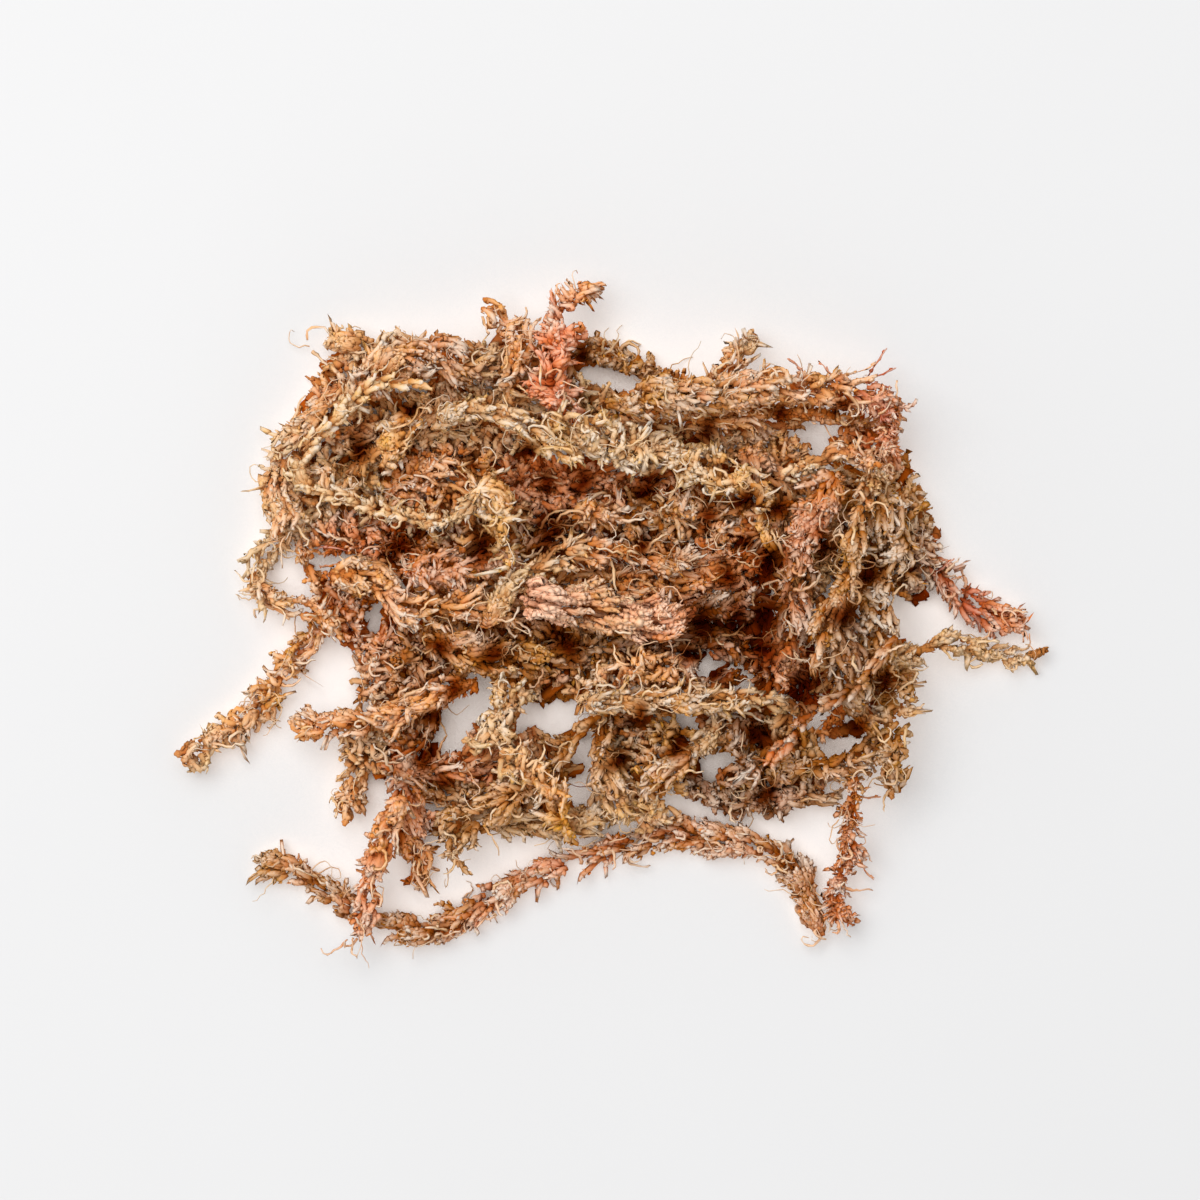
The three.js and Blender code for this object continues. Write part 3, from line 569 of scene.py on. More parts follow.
# How each strand grows, where its root is, and its colours from root to tip. Umber where a strand lies deep
# in the heap, as in beige_row, at olive_inner's root and at the tips of tan_tuft and knob, is painted shade.
STRANDS = """
long_floor: bushy right brown brown brown rust brown brown olive
olive_floor: shaggy left tan grey grey olive
lower_right_band: curly left umber umber grey
upper_right_band: curly left umber olive olive
right_column: curly top tan olive moss
brown_column: shaggy top brown brown rust tan
left_column: curly top rust cream peach
left_point: shaggy right orange tan tan
red_row: shaggy left umber rust cream
left_post: shaggy top brown moss grey
right_post: curly top olive ochre cream
ochre_diagonal: shaggy right cream olive moss
tan_tuft: curly top brown umber umber
brown_row: shaggy left brown olive umber rust
rust_middle: shaggy left rose rose tan
dark_middle: shaggy left peach tan rust
under_top: shaggy left peach cream peach
right_depth: shaggy top tan cream tan
olive_bush: shaggy right tan olive moss
thin_link: rope right olive moss
corner_tail: star top brown rust rust
right_reach: catkin left olive grey grey
red_right: bushy left grey umber red rose
left_tail: curly right brown rust ochre peach cream
left_hook: shaggy top cream cream tan
left_shoulder: shaggy top cream tan cream peach
top_left_ochre: shaggy right tan cream peach
top_left_mass: shaggy left cream peach brown cream
top_middle: curly bottom grey tan peach
olive_rope: catkin right tan olive brown
top_right_under: shaggy left peach tan tan
left_rust: star right brown rust rose peach
left_band: shaggy left peach peach tan
middle_band: shaggy left rust brown umber
tan_middle_left: shaggy left orange peach cream
tan_band: curly left tan olive tan brown
beige_row: shaggy left umber umber umber
green_tuft: shaggy top olive moss olive
olive_inner: shaggy top umber umber olive
right_drop: star top peach salmon cream peach
small_arch: curly left cream cream tan
salmon_peak: fluffy bottom salmon salmon salmon orange
top_right_nub: curly bottom peach peach cream
red_cross: shaggy top tan rose rust
top_right_long: shaggy left olive olive peach peach red
golden_mass: curly left cream straw ochre
cream_broad: curly left straw cream straw ochre
grey_rope: bushy left grey grey straw
cream_rope: rope bottom cream cream cream straw
curly_cream: curly top tan straw straw
rope_arch: bushy left olive cream tan brown
knob: curly left cream tan umber
pale_row: shaggy left grey olive cream
orange_loop: curly left cream ochre ochre
cream_drop: curly top grey grey cream
pink_fall: bushy top brown rust umber rose
peach_rope: bushy top olive olive brown
red_thread: rope right brown umber rust
fat_pink: cob left blush blush peach blush rose
"""
STRANDS = dict(line.split(": ") for line in STRANDS.strip().splitlines())
# Rise of a branch from the stem at its root, middle and end, as shares of the way out to the solid's
# surface, then its run forward, its turn about the stem, its own curl, and how open its leaves stand.
HABITS = {
    "rope": ((0.5, 0.75, 0.82), (2.0, 4.5), 0.5, 0.25, "close", 0.9),
    "shaggy": ((0.65, 0.98, 0.98), (2.5, 6.5), 1.0, 0.9, "loose", 1.0),
    "curly": ((0.6, 1.0, 1.0), (-4.5, 5.0), 1.6, 1.3, "loose", 1.0),
    "star": ((0.3, 0.8, 1.12), (1.0, 4.5), 0.4, 0.35, "spiky", 1.1),
    "bushy": ((0.55, 0.92, 1.0), (2.5, 6.0), 0.6, 0.5, "loose", 1.0),
    "cob": ((0.82, 0.98, 1.0), (3.5, 5.5), 0.2, 0.25, "scaly", 1.5),
    "catkin": ((0.6, 0.95, 1.2), (2.0, 4.0), 0.3, 0.3, "scaly", 1.3),
    "fluffy": ((0.3, 1.05, 1.3), (-1.0, 3.5), 1.2, 1.3, "loose", 1.3),
}
# Threads and ribbons: how many there are to a millimetre of strand, how long they are, and how they bend
WIRES = (("thread", 0.3, (5, 10), (0.5, 5.0)), ("ribbon", 0.4, (3.5, 7.5), (0.5, 4.5)))
BRANCHES_PER_SQUARE_MM = 0.16
# Branches in a tuft, and the share of a strand's length near its root where its branches lie loose
TUFT = 5
LOOSE_ROOTS = {"cream_rope": 0.55}
# Points along a branch, and the share of the way to its tip at each
STATIONS = 9
TO_TIP = np.linspace(0, 1, STATIONS)[None]
# The lengths from which a branch is middling or long, the lowest heights of branches and of threads, and how
# far a branch may reach for another strand
MIDDLE_FROM, LONG_FROM = 4.8, 7.2
BRANCH_FLOOR = 0.75
WIRE_FLOOR = 0.5
NEIGHBOUR_REACH = 9.0


def looked_up(table, along, angle):
    """A table's values between its points along the stem and its turns round it."""
    k = np.clip(along, 0, len(table) - 1.001)
    low = k.astype(int)
    turn = (angle / (2 * np.pi) * TURNS) % TURNS
    left = turn.astype(int) % TURNS
    share, part = k - low, turn - np.floor(turn)
    first = table[low, left] * (1 - part) + table[low, (left + 1) % TURNS] * part
    second = table[low + 1, left] * (1 - part) + table[low + 1, (left + 1) % TURNS] * part
    return first * (1 - share) + second * share


def on_line(line, along):
    """Points of a line by number, run straight on past both its ends."""
    k = np.clip(along, 0, len(line) - 1.001)
    low = k.astype(int)
    share = (along - low)[..., None]
    return line[low] * (1 - share) + line[low + 1] * share


def radial_of(side, other, along, angle):
    """Directions square to the stem, by where along it and at what turn round it."""
    k = np.clip(along, 0, len(side) - 1.01)
    return unit(np.cos(angle)[..., None] * on_line(side, k) + np.sin(angle)[..., None] * on_line(other, k))


def lengths_of(paths):
    return np.linalg.norm(np.diff(paths, axis=1), axis=2).sum(1)


def tone_along(words, share):
    colours = np.array([TONES[w] for w in words])
    spots = np.linspace(0, 1, len(words))
    return np.stack([np.interp(share, spots, colours[:, k]) for k in range(3)], 1)


def kinds_for(leafings, lengths, draw):
    """The branch shapes for these kinds of leaves, each in the size next to its length."""
    sizes = np.array(list(LENGTHS))[np.digitize(lengths, (MIDDLE_FROM, LONG_FROM))].tolist()
    return [(leafing, size, int(draw.integers(VERSIONS))) for leafing, size in zip(leafings, sizes)]


def curve_through(first, middle, last, share):
    """A smooth curve from the first to the last that passes the middle halfway."""
    bend = 2 * middle - 0.5 * first - 0.5 * last
    return first * (1 - share) ** 2 + 2 * bend * share * (1 - share) + last * share**2


def curled(paths, wind, swing, one, two):
    """Paths with a curl of their own, that starts at their roots and winds from one direction to another."""
    curl = swing[..., None] * (np.cos(wind)[..., None] * one + np.sin(wind)[..., None] * two)
    paths = paths + curl - curl[:, :1]
    paths[..., 2] = np.maximum(paths[..., 2], BRANCH_FLOOR)
    return paths


def room_to(number, start, heading):
    """How far a branch may go on from the surface until the next strand, if one is near."""
    found = heap_tree.ray_cast(Vector(start + heading * 0.05), Vector(heading), NEIGHBOUR_REACH)
    if found[3] is None or owner[found[2]] == number:
        return 0.0
    further = min(found[3] * 0.45, 2.5)
    return 0.0 if in_a_hole(start + heading * further, 0.5) else further


def covered(number, spot):
    """Whether other strands lie over this spot."""
    found = heap_tree.ray_cast(Vector(spot) + Vector((0, 0, 0.2)), Vector((0, 0, 1)))
    while found[0] is not None and owner[found[2]] == number:
        found = heap_tree.ray_cast(found[0] + Vector((0, 0, 0.01)), Vector((0, 0, 1)))
    return found[0] is not None


# For every strand, groups of branches: their paths, kinds, turns, tints, ways out from the stem, and colours
laid = []
stems = []
for number, (short, node) in enumerate(zip(names, shape_of)):
    draw = np.random.default_rng(500 + number)
    habit, root_side, *words = STRANDS[short].split()
    rise, forward, turning, curling, leafing, fullness = HABITS[habit]
    corners, faces = shape_of[node]
    around = neighbours_of(len(corners), faces)
    stem, stem_length = stem_line(corners, around, root_side)
    ahead, side, other = carried_frames(stem)
    per_mm = (len(stem) - 1) / stem_length
    nearest = ((corners[:, None] - stem[None]) ** 2).sum(2).argmin(1)
    outward = corners - stem[nearest]
    reach = np.linalg.norm(outward, axis=1)
    girth = np.percentile(reach, 70)
    table = surface_reach(tree_of[node], stem, side, other, girth)
    if habit == "cob":
        table = np.maximum(table, girth * np.minimum(1, 0.88 + 0.12 * np.arange(len(stem)))[:, None])

    # Branches that end at the solid's own tips, so that the strand keeps its form
    is_tip = np.array([all(reach[i] >= reach[j] - 1e-6 for j in around[i]) for i in range(len(corners))])
    is_tip &= reach > 0.55 * girth
    tip_angle = np.arctan2((outward * other[nearest]).sum(1), (outward * side[nearest]).sum(1))[is_tip]
    tip_along = nearest[is_tip].astype(float)
    tip_out = reach[is_tip]
    # Branches that fill in between, by the area of the strand
    area = 2 * math.pi * girth * stem_length
    fill = max(int(area * BRANCHES_PER_SQUARE_MM * fullness) - len(tip_out), 20)
    tufts = fill // TUFT + 1
    tuft = draw.integers(0, tufts, fill)
    tuft_angle, tuft_along = draw.uniform(0, 2 * np.pi, tufts), draw.uniform(-0.3, len(stem) - 0.6, tufts)
    tuft_level, tuft_tint = draw.uniform(0.66, 1.14, tufts), draw.uniform(0, 1, tufts)
    angle = np.concatenate([tip_angle, tuft_angle[tuft] + draw.normal(0, 0.4, fill)])
    along = np.concatenate([tip_along, tuft_along[tuft] + draw.normal(0, 0.9, fill) * per_mm])
    along = np.minimum(along, len(stem) - 0.8)
    count = len(angle)
    level = np.concatenate([np.ones(len(tip_out)), tuft_level[tuft] + draw.normal(0, 0.07, fill)])
    run = np.minimum(draw.uniform(*forward, count) * per_mm, np.maximum(along, 0.3))
    turn = draw.normal(0, turning * 0.6, count)

    # Where each branch lies along the stem, at what turn round it, and how far out, from its root to its tip
    places = along[:, None] - run[:, None] * (1 - TO_TIP)
    turns = angle[:, None] + turn[:, None] * (1 - TO_TIP)
    beyond = np.maximum(0, np.maximum(-places, places - (len(stem) - 1)))
    rises = looked_up(table, places, turns) * curve_through(*rise, TO_TIP)
    rises = rises * level[:, None] * np.exp(-beyond * 0.18)
    rises[: len(tip_out), -1] = tip_out
    rises[: len(tip_out)] *= draw.uniform(0.62, 0.95, (len(tip_out), 1))
    feet = on_line(stem, places[:, -1])
    outwards = radial_of(side, other, places[:, -1], turns[:, -1])
    rises *= (0.6 + 0.4 * brightness_in_hollows(feet + outwards * rises[:, -1:]))[:, None]
    for _ in range(4):
        rises *= np.where(in_a_hole(feet + outwards * rises[:, -1:], 0.3), 0.72, 1.0)[:, None]
    on_stem = np.clip(places, 0, len(stem) - 1.01)
    paths = on_line(stem, places) + unit(on_line(side, on_stem)) * (np.cos(turns) * rises)[..., None]
    paths = paths + unit(on_line(other, on_stem)) * (np.sin(turns) * rises)[..., None]
    # Reaching out to near neighbours
    for k in range(len(tip_out), count):
        heading = unit(paths[k, -1] - on_line(stem, along[k : k + 1])[0])
        if abs(heading[2]) < 0.75:
            more = room_to(number, paths[k, -1], heading)
            if more > 0:
                paths[k] += heading * more * draw.uniform(0.5, 1.1) * (TO_TIP[0] ** 1.5)[:, None]
    # Each branch's own curl
    lock = np.concatenate([draw.integers(0, tufts, len(tip_out)), tuft])
    wind = draw.uniform(0.3, 0.9, (tufts, 1))[lock] * TO_TIP * 2 * np.pi
    wind = wind + draw.uniform(0, 6.28, (tufts, 1))[lock]
    swing = draw.uniform(0.5, 1.7, (tufts, 1))[lock] + draw.normal(0, 0.25, (count, 1))
    ways = [
        unit(draw.normal(size=(tufts, 1, 3))[lock] + draw.normal(0, 0.35, (count, 1, 3))) for _ in range(2)
    ]
    paths = curled(paths, wind, curling * swing * TO_TIP**1.5, *ways)
    at_root = along < LOOSE_ROOTS.get(short, 0) * len(stem)
    kinds = kinds_for(["loose" if loose else leafing for loose in at_root], lengths_of(paths), draw)
    # Under the strand the leaves are plainer, and half of the branches pressed by other strands are gone
    hidden = np.array([covered(number, path[-1]) for path in paths])
    gone = hidden & (draw.uniform(0, 1, count) < 0.5)
    under = hidden | (paths[:, -1, 2] < on_line(stem, along)[:, 2] - 0.5 * girth)
    kinds = [("plain", *kind[1:]) if low else kind for kind, low in zip(kinds, under)]
    tints = np.concatenate([draw.uniform(0, 1, len(tip_out)), tuft_tint[tuft]])
    tints = np.clip(tints + draw.normal(0, 0.12, count), 0, 1)
    final = np.minimum(1.0, rises[:, -1] / np.maximum(looked_up(table, along, angle), 0.3))
    outs = np.stack([np.full(count, rise[0] * 0.5), final], 1)
    tones = tone_along(words, np.clip(along / (len(stem) - 1) + draw.normal(0, 0.06, count), 0, 1))
    kept = ~gone
    kinds = [kind for kind, keep in zip(kinds, kept) if keep]
    spins = draw.uniform(0, 6.28, len(kinds))
    laid.append([(paths[kept], kinds, spins, tints[kept], outs[kept], tones[kept])])
    stems.append((stem, words))

    # Pale wiry threads and broader bleached curls, mostly on the upper side
    for kind, many, run_out, bend in WIRES:
        wires = int(stem_length * many * (0.3 if habit in ("rope", "cob") else 1))
        if not wires:
            continue
        spot = draw.uniform(0, len(stem) - 1.1, wires)
        round_at = draw.uniform(0, 2 * np.pi, wires)
        base = on_line(stem, spot)
        radial = np.cos(round_at)[:, None] * on_line(side, spot)
        radial = unit(radial + np.sin(round_at)[:, None] * on_line(other, spot) + [0, 0, 0.8])
        level = looked_up(table, spot, round_at)
        first = unit(np.cross(radial, unit(draw.normal(size=(wires, 3)))))
        second = np.cross(radial, first)
        heading = draw.uniform(*bend, (wires, 1)) * draw.choice([-1, 1], (wires, 1))
        heading = heading * TO_TIP ** draw.uniform(0.7, 2.2, (wires, 1))
        heading = heading + np.cumsum(draw.normal(0, 0.35, (wires, STATIONS)), axis=1)
        stride = draw.uniform(*run_out, (wires, 1)) / (STATIONS - 1)
        steps = (np.cos(heading) * stride)[..., None] * first[:, None]
        steps = steps + (np.sin(heading) * stride)[..., None] * second[:, None]
        lift = (0.75 + draw.uniform(0.1, 0.6, (wires, 1)) * TO_TIP)[..., None]
        lift = lift * level[:, None, None] * radial[:, None]
        wire = base[:, None] + lift + np.cumsum(steps, axis=1) + draw.normal(0, 0.12, (wires, STATIONS, 3))
        wire[..., 2] = np.maximum(wire[..., 2], WIRE_FLOOR)
        own = tone_along(words, spot / (len(stem) - 1))
        bleach = draw.uniform(0.2, 0.8, (wires, 1))
        tones = own * (1 - bleach) + np.array(TONES["cream"]) * bleach
        outs = np.stack([np.full(wires, 0.5), np.ones(wires)], 1)
        spins = draw.uniform(0, 6.28, wires)
        kinds = ["thread" if kind == "thread" else (kind, int(draw.integers(VERSIONS))) for _ in range(wires)]
        clear = ~in_a_hole(wire[:, -1]) & ~in_a_hole(wire[:, STATIONS // 2])
        clear = clear | (draw.uniform(0, 1, wires) < 0.3)
        kinds = [kind for kind, keep in zip(kinds, clear) if keep]
        tints = draw.uniform(0.2, 0.9, wires)
        laid[-1].append((wire[clear], kinds, spins[clear], tints[clear], outs[clear], tones[clear]))


# --- Branches between the strands -----------------------------------------------------------------
# Longer branches wander off into the gaps between the strands and mat the heap together, where the table or
# the lowest layer would show. High up they are loose, and down at the table they lie flat.

# Maps of the heap seen from above: their corner, the size of a cell and how many there are
LEFT, LOWER = -90.0, -70.0
COARSE = 0.5, (360, 280)
FINE = 0.3, (600, 467)
# The height above which a branch hides the lowest layer. Then the heights that branches wander off to, high
# up and down at the table, and the share of the gaps that they fill there
HIGH_UP = 4.5
HIGH_FILL = (3.5, 7.5, 0.35)
LOW_FILL = (0.8, 1.8, 1.0)


def cells_under(spots, mesh=COARSE, aside=(0, 0)):
    """The cells of a map that lie under these spots."""
    cell, size = mesh
    i = ((spots[..., 0].ravel() - LEFT) / cell).astype(int) + aside[0]
    j = ((spots[..., 1].ravel() - LOWER) / cell).astype(int) + aside[1]
    return np.clip(i, 0, size[0] - 1), np.clip(j, 0, size[1] - 1)


def spots_over(cells, mesh=COARSE, inset=0.0):
    """Where cells of a map lie: their lower left corners, or a place that is inset from them."""
    return (np.array(cells) + inset) * mesh[0] + [LEFT, LOWER]


def mark(cells, spots):
    """Mark the cells that a branch's width round these spots covers."""
    for aside in ((0, 0), (1, 0), (-1, 0), (0, 1), (0, -1)):
        cells[cells_under(spots, aside=aside)] = True


def with_halfways(paths):
    return np.concatenate([paths[:, :-1], (paths[:, :-1] + paths[:, 1:]) / 2], axis=1)


def level_spins(paths):
    """The turns about their own paths at which flat branches lie level."""
    ahead, side, other = carried_frames(paths)
    middle = paths.shape[1] // 2
    return np.arctan2(other[:, middle, 2], -side[:, middle, 2]) + np.pi / 2


seen_low, seen_high = (np.zeros(COARSE[1], bool) for _ in range(2))

for groups in laid:
    finer = with_halfways(groups[0][0])
    mark(seen_low, finer)
    mark(seen_high, finer[finer[..., 2] > HIGH_UP])

draw = np.random.default_rng(77)
wandering = {k: [] for k in range(len(laid))}
cells = np.argwhere(np.ones(COARSE[1], bool))
cells = cells[~in_a_hole(spots_over(cells), 0.7)]
within = [tuple(cell) for cell in cells if inside_edge(*spots_over(cell))]
bright = brightness_in_hollows(spots_over(within))
for grid, low, high, share in ((seen_high, *HIGH_FILL), (seen_low, *LOW_FILL)):
    for pick in draw.permutation(len(within)):
        i, j = within[pick]
        if grid[i, j] or draw.uniform() > share or (low > 2 and bright[pick] < 0.7):
            continue
        target = np.array([*spots_over((i, j)), draw.uniform(low, high)])
        found = heap_tree.find_nearest(Vector(target))
        if found[3] > NEIGHBOUR_REACH:
            continue
        root = np.array(found[0]) - np.array(found[1]) * 0.9
        way = target - root
        end = target + way * draw.uniform(0.5, 2.5) / (np.linalg.norm(way) + 0.5)
        line = root + (end - root) * np.linspace(0, 1, 24)[:, None]
        mark(grid, line)
        mark(seen_low, line)
        wandering[owner[found[2]]].append((root, end, low))

for number, found in wandering.items():
    if not found:
        continue
    roots, ends, levels = (np.array(column) for column in zip(*found))
    count = len(roots)
    way = ends - roots
    sag = draw.normal(0, 0.18, (count, 3)) * np.linalg.norm(way, axis=1, keepdims=True)
    paths = roots[:, None] + way[:, None] * TO_TIP[..., None]
    paths = paths + sag[:, None] * (4 * TO_TIP * (1 - TO_TIP))[..., None]
    wind = draw.uniform(0.5, 1.3, (count, 1)) * TO_TIP * 2 * np.pi + draw.uniform(0, 6.28, (count, 1))
    swing = draw.uniform(0.2, 1.0, (count, 1)) * TO_TIP**1.3
    paths = curled(paths, wind, swing, *(unit(draw.normal(size=(count, 1, 3))) for _ in range(2)))
    lengths = lengths_of(paths)
    clear = ~(in_a_hole(paths[:, 2:]).sum(1) > 2)
    paths, lengths, levels, ends = paths[clear], lengths[clear], levels[clear], ends[clear]
    count = len(paths)
    kinds = kinds_for(["loose" if level > 1 else "litter" for level in levels], lengths, draw)
    stem, words = stems[number]
    spot = ((ends[:, None] - stem[None]) ** 2).sum(2).argmin(1) / (len(stem) - 1)
    # Branches down at the table get a low out share, so they are painted darker, as shade low in the heap.
    final = np.where(levels > 1, draw.uniform(0.6, 1.0, count), draw.uniform(0.05, 0.4, count))
    outs = np.stack([final * 0.4, final], 1)
    tones = tone_along(words, spot)
    spins = np.where(levels > 1, draw.uniform(0, 6.28, count), level_spins(paths))
    laid[number].append((paths, kinds, spins, draw.uniform(0, 1, count), outs, tones))


# --- Points and hairs -----------------------------------------------------------------------------
# A few strands end in pointed red and russet branches that stand out of the heap's edge, and two fine dark
# hairs, old branches without leaves, lie out on the table beside it.

# The strand that a point grows from, its colour, where it ends, and how far back it starts. Then the hairs,
# by three places on each.
POINTS = [
    ("top_right_long", "red", (54.5, 53.5, 7), (-3, -4.5, -2)),
    ("top_right_long", "red", (56.5, 49.5, 6), (-5, -2, -1)),
    ("top_right_long", "red", (55.5, 45.0, 6), (-5, 1, 0)),
    ("top_right_long", "salmon", (34.2, 51.2, 9), (4.0, -4.0, -2)),
    ("top_right_long", "salmon", (40.4, 50.8, 9), (4.5, -4.0, -2)),
    ("top_right_long", "peach", (52.5, 50.5, 8), (-6, -2, -1)),
    ("right_drop", "red", (57.0, 36.5, 5), (-5, 3, 0)),
    ("red_right", "red", (68.3, 11.2, 5), (-5, -4, -2)),
    ("red_right", "rust", (70.6, 7.8, 4), (-6, -1, -1)),
    ("red_right", "red", (67.0, 10.0, 4), (-5, -4, -1)),
    ("corner_tail", "rust", (52.2, -54.0, 2), (-3, 5, 1)),
    ("corner_tail", "rust", (53.6, -37.0, 3), (-5, 0, 0)),
    ("left_rust", "red", (-60.5, 12.5, 5), (5, 0, 1)),
    ("left_rust", "rust", (-60.0, 9.5, 4), (5, 1, 1)),
]
HAIRS = [
    ("left_point", ((-64.3, -22.1, 0.8), (-59.3, -20.7, 3.5), (-54.0, -22.4, 3.0))),
    ("orange_loop", ((-3.0, -32.6, 3.0), (-7.3, -35.1, 2.2), (-12.0, -32.0, 3.5))),
]


def lay_one(name, path, kind, tint, outs, tone):
    """One listed branch laid on the strand of this name."""
    group = (path[None], [kind], np.zeros(1), np.full(1, tint), np.array([outs]), np.array([TONES[tone]]))
    laid[names.index(name)].append(group)


share = TO_TIP[0, :, None]
for name, tone, point, back in POINTS:
    end = np.array(point, float)
    sag = 4 * share * (1 - share) * draw.normal(0, 0.5, 3)
    path = (end + np.array(back) * 1.3) * (1 - share) + end * share + sag
    lay_one(name, path, ("slender", "middle", int(draw.integers(VERSIONS))), 0.15, [0.6, 0.9], tone)
for name, spots in HAIRS:
    lay_one(name, curve_through(*np.array(spots), share), "hair", 0.0, [0.1, 0.1], "brown")


# --- Litter ---------------------------------------------------------------------------------------
# Broken branches and scraps of leaf have sifted down to the table inside the heap. They lie flat wherever it
# would still show from above, and belong to the strand nearest to them.

# Places on a triangle, as shares of its corners
ON_TRIANGLE = ((1, 0, 0), (1, 1, 1), (1, 1, 0), (0, 1, 1), (1, 0, 1), (2, 1, 1), (1, 2, 1), (1, 1, 2))
SCRAP_WIDTH = 0.6


def clothed(paths, kinds, spins, tints, outs, tones):
    """The branch shapes laid along their paths: corners, triangles, and the three colours of each corner."""
    ahead, side, other = carried_frames(paths)
    lengths = lengths_of(paths)
    count = paths.shape[1]
    corners, faces, grown, tone, lie = [], [], [], [], []
    offset = 0
    groups = {}
    for number, kind in enumerate(kinds):
        groups.setdefault(kind, []).append(number)
    for kind, numbers in groups.items():
        shape, triangles, tips, draws = BRANCHES[kind]
        n = np.array(numbers)
        t = shape[:, 2] * (count - 1)
        low = np.clip(t.astype(int), 0, count - 2)
        share = (t - low)[None, :, None]
        mixed = [a[n][:, low] * (1 - share) + a[n][:, low + 1] * share for a in (paths, side, other)]
        spin = spins[n][:, None, None]
        down = shape[None, :, 2] * lengths[n][:, None] + tints[n][:, None] * 900
        flat = np.repeat(shape[None, :, :2], len(n), 0)
        lie.append(np.concatenate([flat, down[..., None], np.ones_like(down)[..., None]], 2).reshape(-1, 4))
        x, y = turned(shape[None, :, 0:1], shape[None, :, 1:2], spin)
        spots = mixed[0] + unit(mixed[1]) * x + unit(mixed[2]) * y
        corners.append(spots.reshape(-1, 3))
        steps = offset + len(shape) * np.arange(len(n))
        faces.append((triangles[None] + steps[:, None, None]).reshape(-1, 3))
        offset += len(shape) * len(n)
        held = np.clip(shape[:, 2], 0, 1)
        out = outs[n][:, :1] + (outs[n][:, 1:] - outs[n][:, :1]) * held
        ones = np.ones((len(n), len(shape)))
        drawn = (draws[None] + tints[n][:, None] * 7.3) % 1.0
        grown.append(np.stack([ones * tints[n][:, None], ones * tips, out, drawn], 2).reshape(-1, 4))
        colour = np.repeat(tones[n][:, None], len(shape), 1)
        tone.append(np.concatenate([colour, ones[..., None]], 2).reshape(-1, 4))
    return [np.concatenate(column) for column in (corners, faces, grown, tone, lie)]


clothes = [[clothed(*group) for group in groups if len(group[0])] for groups in laid]
matted = np.zeros(FINE[1], bool)
for parts in clothes:
    for corners, faces, *_ in parts:
        ends = corners[faces]
        for weights in ON_TRIANGLE:
            matted[cells_under((ends * np.array(weights)[:, None]).sum(1) / sum(weights), FINE)] = True
cells = np.argwhere(~matted)
middles = spots_over(cells, FINE, 0.5)
open_floor = in_a_hole(middles, 0.7)
bare = [tuple(c) for c, m, o in zip(cells, middles, open_floor) if not o and inside_edge(*m)]
for pick in draw.permutation(len(bare)):
    i, j = bare[pick]
    if matted[i, j]:
        continue
    middle = np.array([*spots_over((i, j), FINE, 0.5), draw.uniform(0.8, 1.6)])
    found = heap_tree.find_nearest(Vector(middle))
    if found[3] > NEIGHBOUR_REACH:
        continue
    way = middle - np.array(found[0]) + draw.normal(0, 0.3, 3)
    way = unit(way * [1, 1, 0]) * draw.uniform(2.0, 2.8)
    path = middle + way * np.linspace(-1, 1, STATIONS)[:, None] + draw.normal(0, 0.1, (STATIONS, 3))
    path[:, 2] = np.maximum(path[:, 2], BRANCH_FLOOR)
    if in_a_hole(path).any():
        path = middle + (path - middle) * 0.45
    across = unit(np.cross(way, [0, 0, 1])) * SCRAP_WIDTH
    for aside in (-1, 0, 1):
        matted[cells_under(path + across * aside, FINE)] = True
    number = owner[found[2]]
    stem, words = stems[number]
    share = ((middle - stem) ** 2).sum(1).argmin() / (len(stem) - 1)
    kinds = [("litter", "short", int(draw.integers(VERSIONS)))]
    # A low out share paints the scrap dark, as shade low in the heap.
    group = (path[None], kinds, level_spins(path[None]), draw.uniform(0, 1, 1), np.array([[0.2, 0.35]]))
    laid[number].append((*group, tone_along(words, np.array([share]))))
    clothes[number].append(clothed(*laid[number][-1]))


# --- The dressed strands --------------------------------------------------------------------------
# Each strand with its branches and its litter is one piece, all of leaf. Light fades down between the strands
# and between the branches, and that shade is kept with the colours of the leaves' corners.

# How far down the heap darkens between its strands, and between its branches, in millimetres
DEPTH_REACH = 4
DEPTH_STARTS = 9.0
DEPTH_FADES = 16.0
CREVICE_STARTS = 1.1
CREVICE_FADES = 2.2
# The height of the lowest leaves
LEAF_FLOOR = 0.35
# The height of the heap round every spot: what lies far below it gets the painted shade deep between the
# strands.
MAP_LEFT, MAP_LOWER, MAP_SIZE = -92, -72, (184, 144)
ABOVE_ALL = 60


def four_sides(cells):
    """A map moved by one cell to each of its four sides."""
    return [np.roll(cells, step, axis) for step in (1, -1) for axis in (0, 1)]


def openness(corners):
    """One at the heap's top, falling to nothing for corners deep between its strands."""
    i = np.clip(np.round(corners[:, 0] - MAP_LEFT).astype(int), 0, MAP_SIZE[0] - 1)
    j = np.clip(np.round(corners[:, 1] - MAP_LOWER).astype(int), 0, MAP_SIZE[1] - 1)
    kept = np.clip(1 - (heights[i, j] - corners[:, 2] - DEPTH_STARTS) / DEPTH_FADES, 0, 1)
    crevice = np.clip((tops[cells_under(corners)] - corners[:, 2] - CREVICE_STARTS) / CREVICE_FADES, 0, 1)
    hollow = brightness_in_hollows(corners)
    return (0.5 + 0.5 * kept) * (1 - 0.38 * crevice) * (0.3 + 0.7 * hollow), hollow


def above_floor(corners):
    """Corners below the lowest leaves squeezed flat, but never through the table."""
    low = corners[:, 2] < LEAF_FLOOR
    corners[low, 2] = LEAF_FLOOR * np.exp((corners[low, 2] - LEAF_FLOOR) / LEAF_FLOOR)
    return corners


